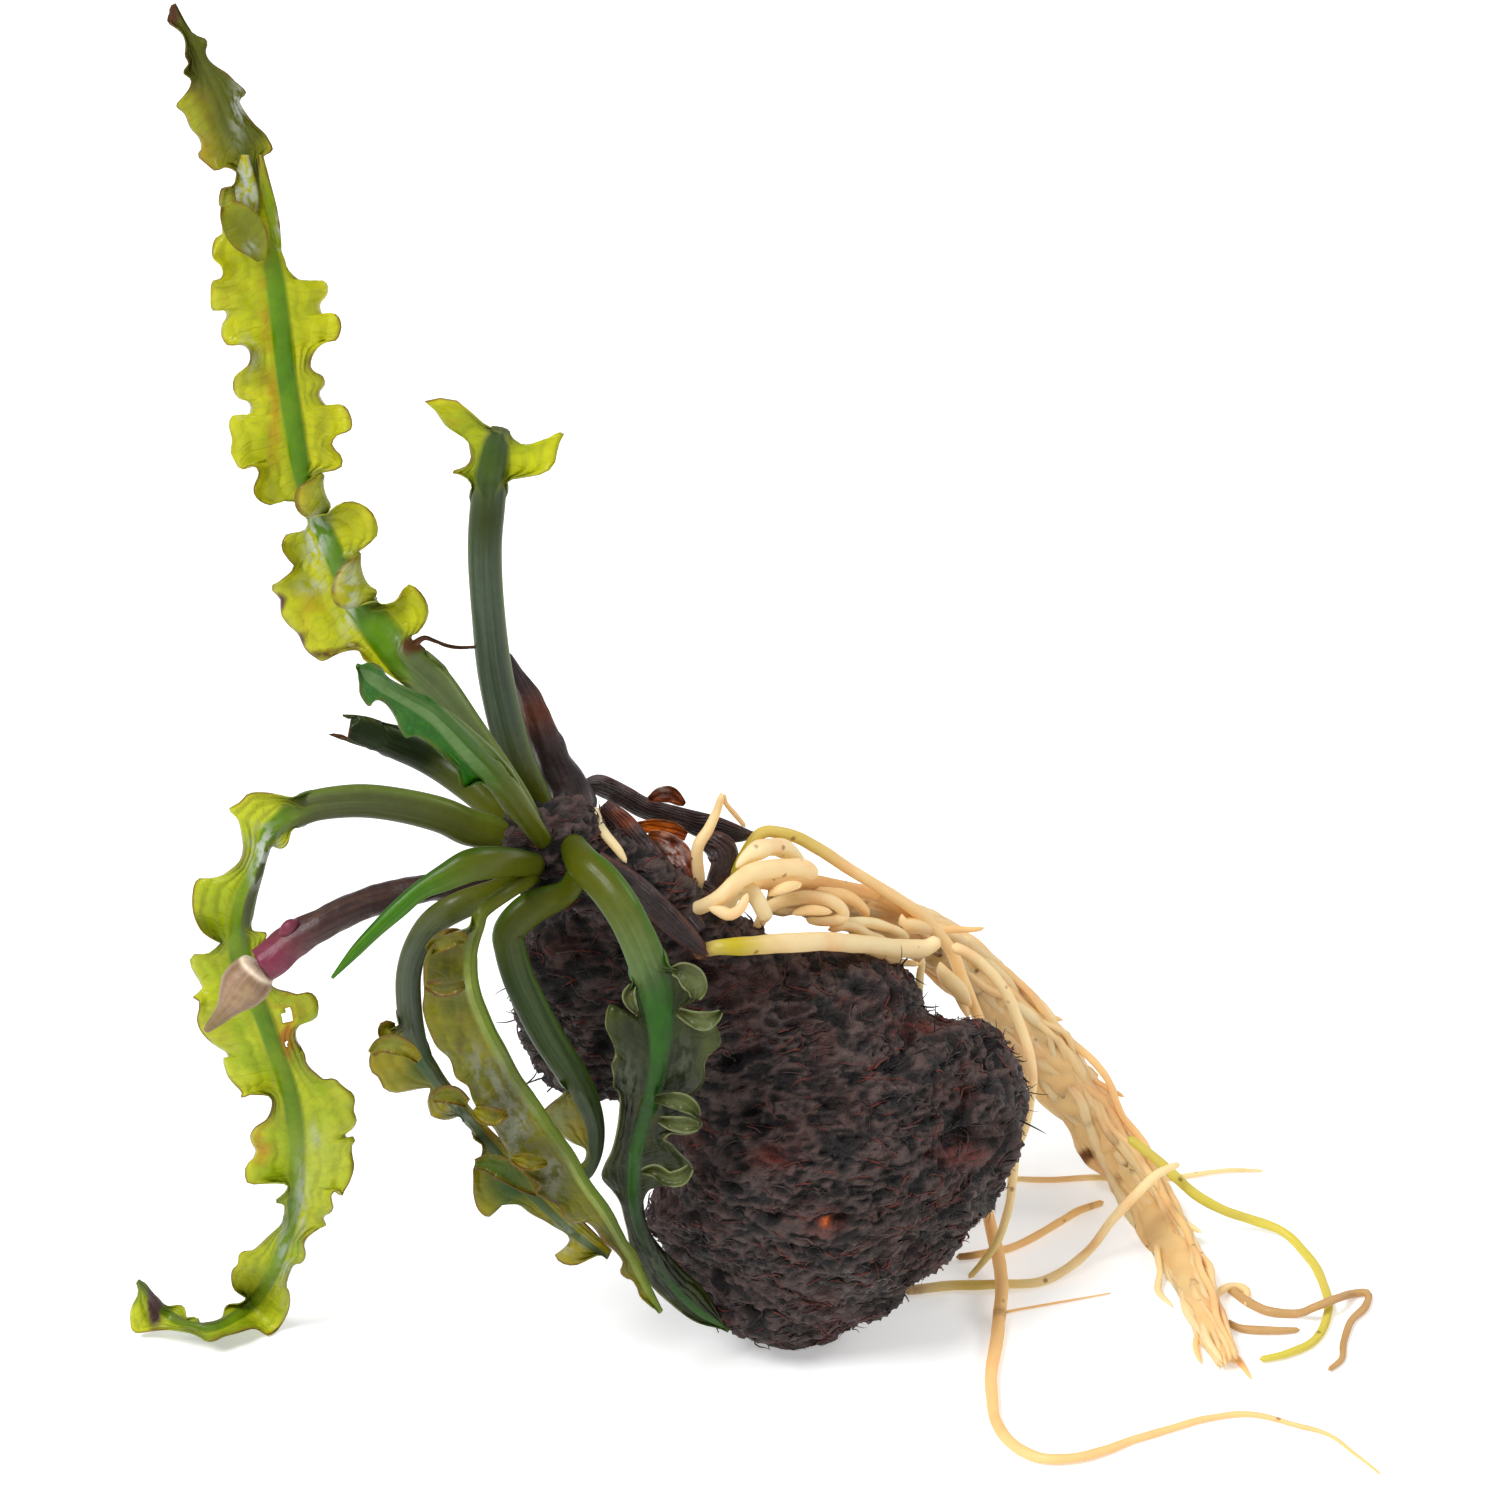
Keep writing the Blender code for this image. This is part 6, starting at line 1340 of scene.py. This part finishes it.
def fitOutline(shape):
    # the solid's edge, as the eye sees it, is drawn to the outline
    midRight, midUp = tuberLook["outlineMiddle"]
    places = np.array([vert.co[:] for vert in shape.verts]) / mm
    line = places - eye
    reach = (view["eyeDistance"]) / np.maximum(-(line @ toEye), 1)
    onPlane = eye + line * reach[:, None]
    right = onPlane @ sightRight - midRight
    up = onPlane @ sightUp - midUp
    turn = np.arctan2(up, right)
    far = np.hypot(right, up)
    bins = 120
    at = ((turn + math.pi) / (2 * math.pi) * bins).astype(int) % bins
    edge = np.array([far[at == k].max() if (at == k).any() else 0 for k in range(bins)])
    target = curveThrough(tuberLook["outline"], 0.3)[:, :2] - np.array([midRight, midUp])
    targetTurn = np.arctan2(target[:, 1], target[:, 0])
    targetFar = np.hypot(target[:, 0], target[:, 1])
    wanted = np.zeros(bins)
    targetAt = ((targetTurn + math.pi) / (2 * math.pi) * bins).astype(int) % bins
    for k in range(bins):
        if (targetAt == k).any():
            wanted[k] = targetFar[targetAt == k].max()
    known = wanted > 0
    ratio = np.where(known, wanted / np.maximum(edge, 1e-6), 1.0)
    ratio = np.clip(ratio, 0.8, 1.25)
    ratio = np.convolve(np.concatenate([ratio[-1:], ratio, ratio[:1]]), (0.25, 0.5, 0.25), mode="valid")
    scale = np.interp((turn + math.pi) / (2 * math.pi) * bins - 0.5, np.arange(-1, bins + 1),
                      np.concatenate([ratio[-1:], ratio, ratio[:1]]))
    moved = eye + (onPlane + np.outer(right * (scale - 1), sightRight)
                   + np.outer(up * (scale - 1), sightUp) - eye) / reach[:, None]
    moved[:, 2] = np.where(places[:, 2] < 0.3, places[:, 2], np.maximum(moved[:, 2], 0.3))
    for vert, place in zip(shape.verts, moved):
        vert.co = Vector(place) * mm
    return known.sum()


def tuberRelief(place):
    # flaky rings, fibres and pits, in mm along the skin's normal
    x, y, z = place
    rings = noise.noise(Vector((x * 0.07, y * 0.07, z * 0.32)))
    lumps = noise.noise(Vector((x * 0.16, y * 0.16, z * 0.22)) + Vector((9, 4, 2)))
    flakes = 1 - abs(noise.noise(Vector((x * 0.3, y * 0.3, z * 0.75)) + Vector((31, 2, 7)))) * 3.6
    fibres = 1 - abs(noise.noise(Vector((x * 0.6, y * 0.6, z * 1.5)) + Vector((3, 8, 1)))) * 3.4
    grain = noise.noise(Vector((x * 1.4, y * 1.4, z * 1.9)))
    pit = noise.noise(Vector((x * 0.28, y * 0.28, z * 0.34)) + Vector((20, 7, 5)))
    fine = 0.3 * flakes + 0.34 * fibres + 0.36 * grain
    return 0.8 * rings + 0.8 * lumps + fine - 4.8 * max(pit - 0.32, 0), fine - 2.4 * max(pit - 0.2, 0)


def tuberFinish():
    material, tree, shader = freshMaterial("tuberSkin")
    place = placeOf(tree)
    stretched = tree.nodes.new("ShaderNodeMapping")
    stretched.inputs["Scale"].default_value = (0.45, 0.45, 1.6)
    feed(tree, stretched.inputs["Vector"], place)
    flow = stretched.outputs[0]
    broad = noiseOf(tree, place, 110, 4, 0.65)
    fibre = noiseOf(tree, flow, 800, 5, 0.7)
    fine = noiseOf(tree, place, 2600, 4, 0.6)
    flesh, orange, hollowShade, reliefShade, gloss = [markOf(tree, key) for key in tuberMarks]
    # painted shade and light: near black in the fine relief's hollows, paler brown-grey on its raised places, broken by
    # fibre grain
    reliefShadeAndGrain = sumOf(tree, "ADD", reliefShade, sumOf(tree, "MULTIPLY", sumOf(tree, "SUBTRACT", fibre, 0.5), 1.1))
    colour = blendOf(tree, rampOf(tree, reliefShadeAndGrain, 0.25, 0.95), (17, 12, 12), (82, 64, 60))
    colour = blendOf(tree, sumOf(tree, "MULTIPLY", rampOf(tree, broad, 0.5, 0.68), 0.5), colour, (76, 38, 30))
    colour = blendOf(tree, sumOf(tree, "MULTIPLY", flesh, rampOf(tree, fibre, 0.35, 0.6)), colour, (112, 44, 32))
    colour = blendOf(tree, orange, colour, (216, 104, 30))
    # pale flecks, kept to the raised places of the painted relief shade
    flecks = sumOf(tree, "MULTIPLY", rampOf(tree, fine, 0.6, 0.74), rampOf(tree, reliefShade, 0.45, 0.8))
    colour = blendOf(tree, sumOf(tree, "MULTIPLY", flecks, 0.6), colour, (122, 104, 98))
    # painted shade: near black inside the dents
    colour = blendOf(tree, hollowShade, colour, (8, 5, 5))
    feed(tree, shader.inputs["Base Color"], colour)
    rough = sumOf(tree, "ADD", 0.34, sumOf(tree, "MULTIPLY", fibre, 0.4))
    feed(tree, shader.inputs["Roughness"], sumOf(tree, "SUBTRACT", rough, sumOf(tree, "MULTIPLY", gloss, 0.34)))
    shader.inputs["Specular IOR Level"].default_value = 0.36
    height = sumOf(tree, "ADD", sumOf(tree, "MULTIPLY", fibre, 1.0), sumOf(tree, "MULTIPLY", fine, 0.5))
    feed(tree, shader.inputs["Normal"], bumpOf(tree, height, 0.9, 0.0007))
    return material


tuberMarks = ("flesh", "orange", "hollowShade", "reliefShade", "gloss")


def strandOf(start, normal, way, length, girth, lean, skinTree):
    # a thin fibre: it hugs the skin where lean is 0 and leaves it along the normal where lean is 1
    points, sides, fronts = [], [], []
    place = start
    turn = Vector((random.uniform(-1, 1), random.uniform(-1, 1), random.uniform(-1, 1)))
    count = 7
    for k in range(count):
        if lean < 0.9:
            near, normal, _, _ = skinTree.find_nearest(place)
            place = near + normal * (0.08 + 1.6 * lean * (k / count) ** 2) * mm
        points.append(place / mm)
        way = (way + turn * 0.22).normalized()
        if lean < 0.9:
            way = (way - normal * way.dot(normal)).normalized()
        side = way.cross(normal).normalized()
        sides.append(side)
        fronts.append(way.cross(side))
        place = place + way * length / (count - 1) * mm
    taper = np.array([0.6, 1, 1, 0.9, 0.75, 0.55, 0.2])[:, None, None] * girth
    around = np.stack([np.array(sides), np.array(fronts), -np.array(sides), -np.array(fronts)], axis=1)
    return np.array(points)[:, None, :] + around * taper


def growFibres(skin, finish):
    # loose fibres and rootlets lie on the skin as a piece of their own
    skinTree = BVHTree.FromBMesh(skin)
    strands = []
    marks = {key: [] for key in tuberMarks}
    centres = np.array([face.calc_center_median()[:] for face in skin.faces])
    normals = np.array([face.normal[:] for face in skin.faces])
    onPlane = centres / mm - eye
    onPlane = eye + onPlane * (view["eyeDistance"] / -(onPlane @ toEye))[:, None]
    right = onPlane[:, 0]
    up = onPlane @ sightUp
    offFloor = np.nonzero(centres[:, 2] > 1.5 * mm)[0]
    edge = np.abs(normals @ toEye) < 0.4
    tufts = [(tuberLook["hairs"], offFloor, (0, 0, 0, 0, 0.5, 0.8), (1.5, 5.0))]
    for lowest, highest, count in tuberLook["tufts"]:
        near = edge & (right > lowest[0]) & (right < highest[0]) & (up > lowest[1]) & (up < highest[1])
        tufts.append((count, np.nonzero(near)[0], (0.6, 1.0, 1.0), (2.0, 4.6)))
    for count, chosen, leans, lengths in tufts:
        for _ in range(count if len(chosen) else 0):
            pick = int(random.choice(chosen))
            normal = Vector(normals[pick])
            lean = random.choice(leans)
            drift = Vector((random.uniform(-0.7, 0.7), random.uniform(-0.7, 0.7), 1))
            way = normal.cross(drift).normalized() * random.choice((-1, 1))
            if lean > 0.9:
                way = (normal + way * 0.7).normalized()
            strands.append(strandOf(Vector(centres[pick]), normal, way, random.uniform(*lengths),
                                    random.uniform(0.06, 0.15), lean, skinTree))
            marks["flesh"].append(random.choice((0, 0, 0.9)))
            marks["reliefShade"].append(random.uniform(0.2, 1.0))
            marks["orange"].append(0.0)
            marks["hollowShade"].append(0.0)
            marks["gloss"].append(0.2)
    shape = bmesh.new()
    layers = {key: shape.verts.layers.float.new(key) for key in tuberMarks}
    rollStrands(shape, layers, np.array(strands), marks)
    return settle("tuberFibres", shape, finish, [])


def growTuber():
    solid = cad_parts["tuber"]
    shape = bmesh.new()
    shape.from_mesh(solid.data)
    bmesh.ops.remove_doubles(shape, verts=shape.verts, dist=1e-6)
    bmesh.ops.subdivide_edges(shape, edges=shape.edges, cuts=1, use_grid_fill=True)
    bmesh.ops.smooth_vert(shape, verts=shape.verts, factor=0.5, use_axis_x=True, use_axis_y=True, use_axis_z=True)
    fitOutline(shape)
    mesh = bpy.data.meshes.new("tuberCore")
    shape.to_mesh(mesh)
    shape.free()
    core = bpy.data.objects.new("tuberCore", mesh)
    bpy.context.scene.collection.objects.link(core)
    skin = core.modifiers.new("skin", "REMESH")
    skin.mode = "VOXEL"
    skin.voxel_size = tuberLook["voxel"] * mm
    look = bpy.context.evaluated_depsgraph_get()
    fineMesh = bpy.data.meshes.new_from_object(core.evaluated_get(look), depsgraph=look)
    bpy.data.objects.remove(core, do_unlink=True)
    shape = bmesh.new()
    shape.from_mesh(fineMesh)
    bmesh.ops.smooth_vert(shape, verts=shape.verts, factor=0.6, use_axis_x=True, use_axis_y=True, use_axis_z=True)
    layers = {key: shape.verts.layers.float.new(key) for key in tuberMarks}
    shape.normal_update()
    spots = [
        ("flesh", 20, 21.5, 3.2, 1.4, 0.9), ("flesh", -3.5, 21, 2.6, 1.6, 0.7), ("flesh", 3.2, 13, 2.2, 1.6, 0.7),
        ("flesh", 14.4, 37.4, 3, 1.2, 1.0), ("flesh", 23.3, 12, 1.2, 1.0, 0.8), ("flesh", -16, 26, 2, 1.6, 0.6),
        ("gloss", 21, 16.5, 4, 6, 1.0), ("gloss", 8, 6, 6, 4, 0.6), ("gloss", 0, 40, 8, 5, 0.5),
        ("orange", 3.2, 13, 0.5, 0.45, 1.0), ("hollowShade", 20.6, 23.8, 2.0, 0.9, 1.0),
        ("hollowShade", -12.5, 14, 1.4, 1.0, 0.9), ("hollowShade", -6.2, 27, 1.2, 0.8, 0.8),
    ]
    for vert in shape.verts:
        place = vert.co / mm
        line = place - Vector(eye)
        reach = view["eyeDistance"] / max(-line.dot(Vector(toEye)), 1)
        onPlane = Vector(eye) + line * reach
        right, up = onPlane.x, onPlane.dot(Vector(sightUp))
        facing = vert.normal.dot(Vector(toEye)) > -0.1
        dent = 0
        if facing:
            for key, spotRight, spotUp, wide, tall, amount in spots:
                away = ((right - spotRight) / wide) ** 2 + ((up - spotUp) / tall) ** 2
                if away < 6:
                    mark = amount * math.exp(-away)
                    vert[layers[key]] = max(vert[layers[key]], mark)
                    if key == "hollowShade":
                        dent = max(dent, mark)
        relief, fine = tuberRelief(place)
        # the fine relief's height, kept for the finish to paint shade in its hollows and light on its raised places
        vert[layers["reliefShade"]] = 0.42 + 0.75 * fine
        moved = place + vert.normal * (relief - 2.2 * dent) * min(1, max(place.z / 2.0, 0))
        moved.z = max(moved.z, 0.0)
        vert.co = moved * mm
    shape.normal_update()
    finish = tuberFinish()
    growFibres(shape, finish)
    return settle("tuberBody", shape, finish, ["tuber"])


growTuber()
print("tuber done")


# Floor, light and camera

def stageSet():
    shape = bmesh.new()
    bmesh.ops.create_grid(shape, x_segments=1, y_segments=1, size=3.0)
    mesh = bpy.data.meshes.new("floor")
    shape.to_mesh(mesh)
    shape.free()
    floor = bpy.data.objects.new("floor", mesh)
    bpy.context.scene.collection.objects.link(floor)
    material, tree, shader = freshMaterial("paper")
    shader.inputs["Base Color"].default_value = (0.8, 0.8, 0.8, 1)
    shader.inputs["Roughness"].default_value = 0.9
    shader.inputs["Specular IOR Level"].default_value = 0.0
    shader.inputs["Emission Color"].default_value = (1, 1, 1, 1)
    shader.inputs["Emission Strength"].default_value = 0.35
    mesh.materials.append(material)

    world = bpy.data.worlds.new("tent")
    world.use_nodes = True
    world.node_tree.nodes["Background"].inputs["Color"].default_value = (1, 1, 1, 1)
    world.node_tree.nodes["Background"].inputs["Strength"].default_value = 0.5
    bpy.context.scene.world = world

    def softSun(name, towards, spread, strength):
        light = bpy.data.lights.new(name, "SUN")
        light.angle = math.radians(spread)
        light.energy = strength
        lamp = bpy.data.objects.new(name, light)
        lamp.location = towards
        lamp.rotation_euler = (-Vector(towards)).to_track_quat("-Z", "Y").to_euler()
        bpy.context.scene.collection.objects.link(lamp)

    softSun("key", (-0.5, -0.45, 0.9), 24, 2.9)
    softSun("rim", (0.7, 0.25, 0.6), 20, 0.8)

    camera = bpy.data.cameras.new("camera")
    camera.sensor_width = 36
    camera.lens = 36 * view["eyeDistance"] / view["frameWidth"]
    camera.shift_x = (view["frameRight"] - view["aimRight"]) / view["frameWidth"]
    camera.clip_start = 0.01
    camera.clip_end = 20
    holder = bpy.data.objects.new("camera", camera)
    holder.location = Vector(eye) * mm
    holder.rotation_euler = (math.pi / 2 - view["lookDown"], 0, 0)
    bpy.context.scene.collection.objects.link(holder)
    bpy.context.scene.camera = holder
    bpy.context.scene.view_settings.view_transform = "Standard"


stageSet()
print("stage done")
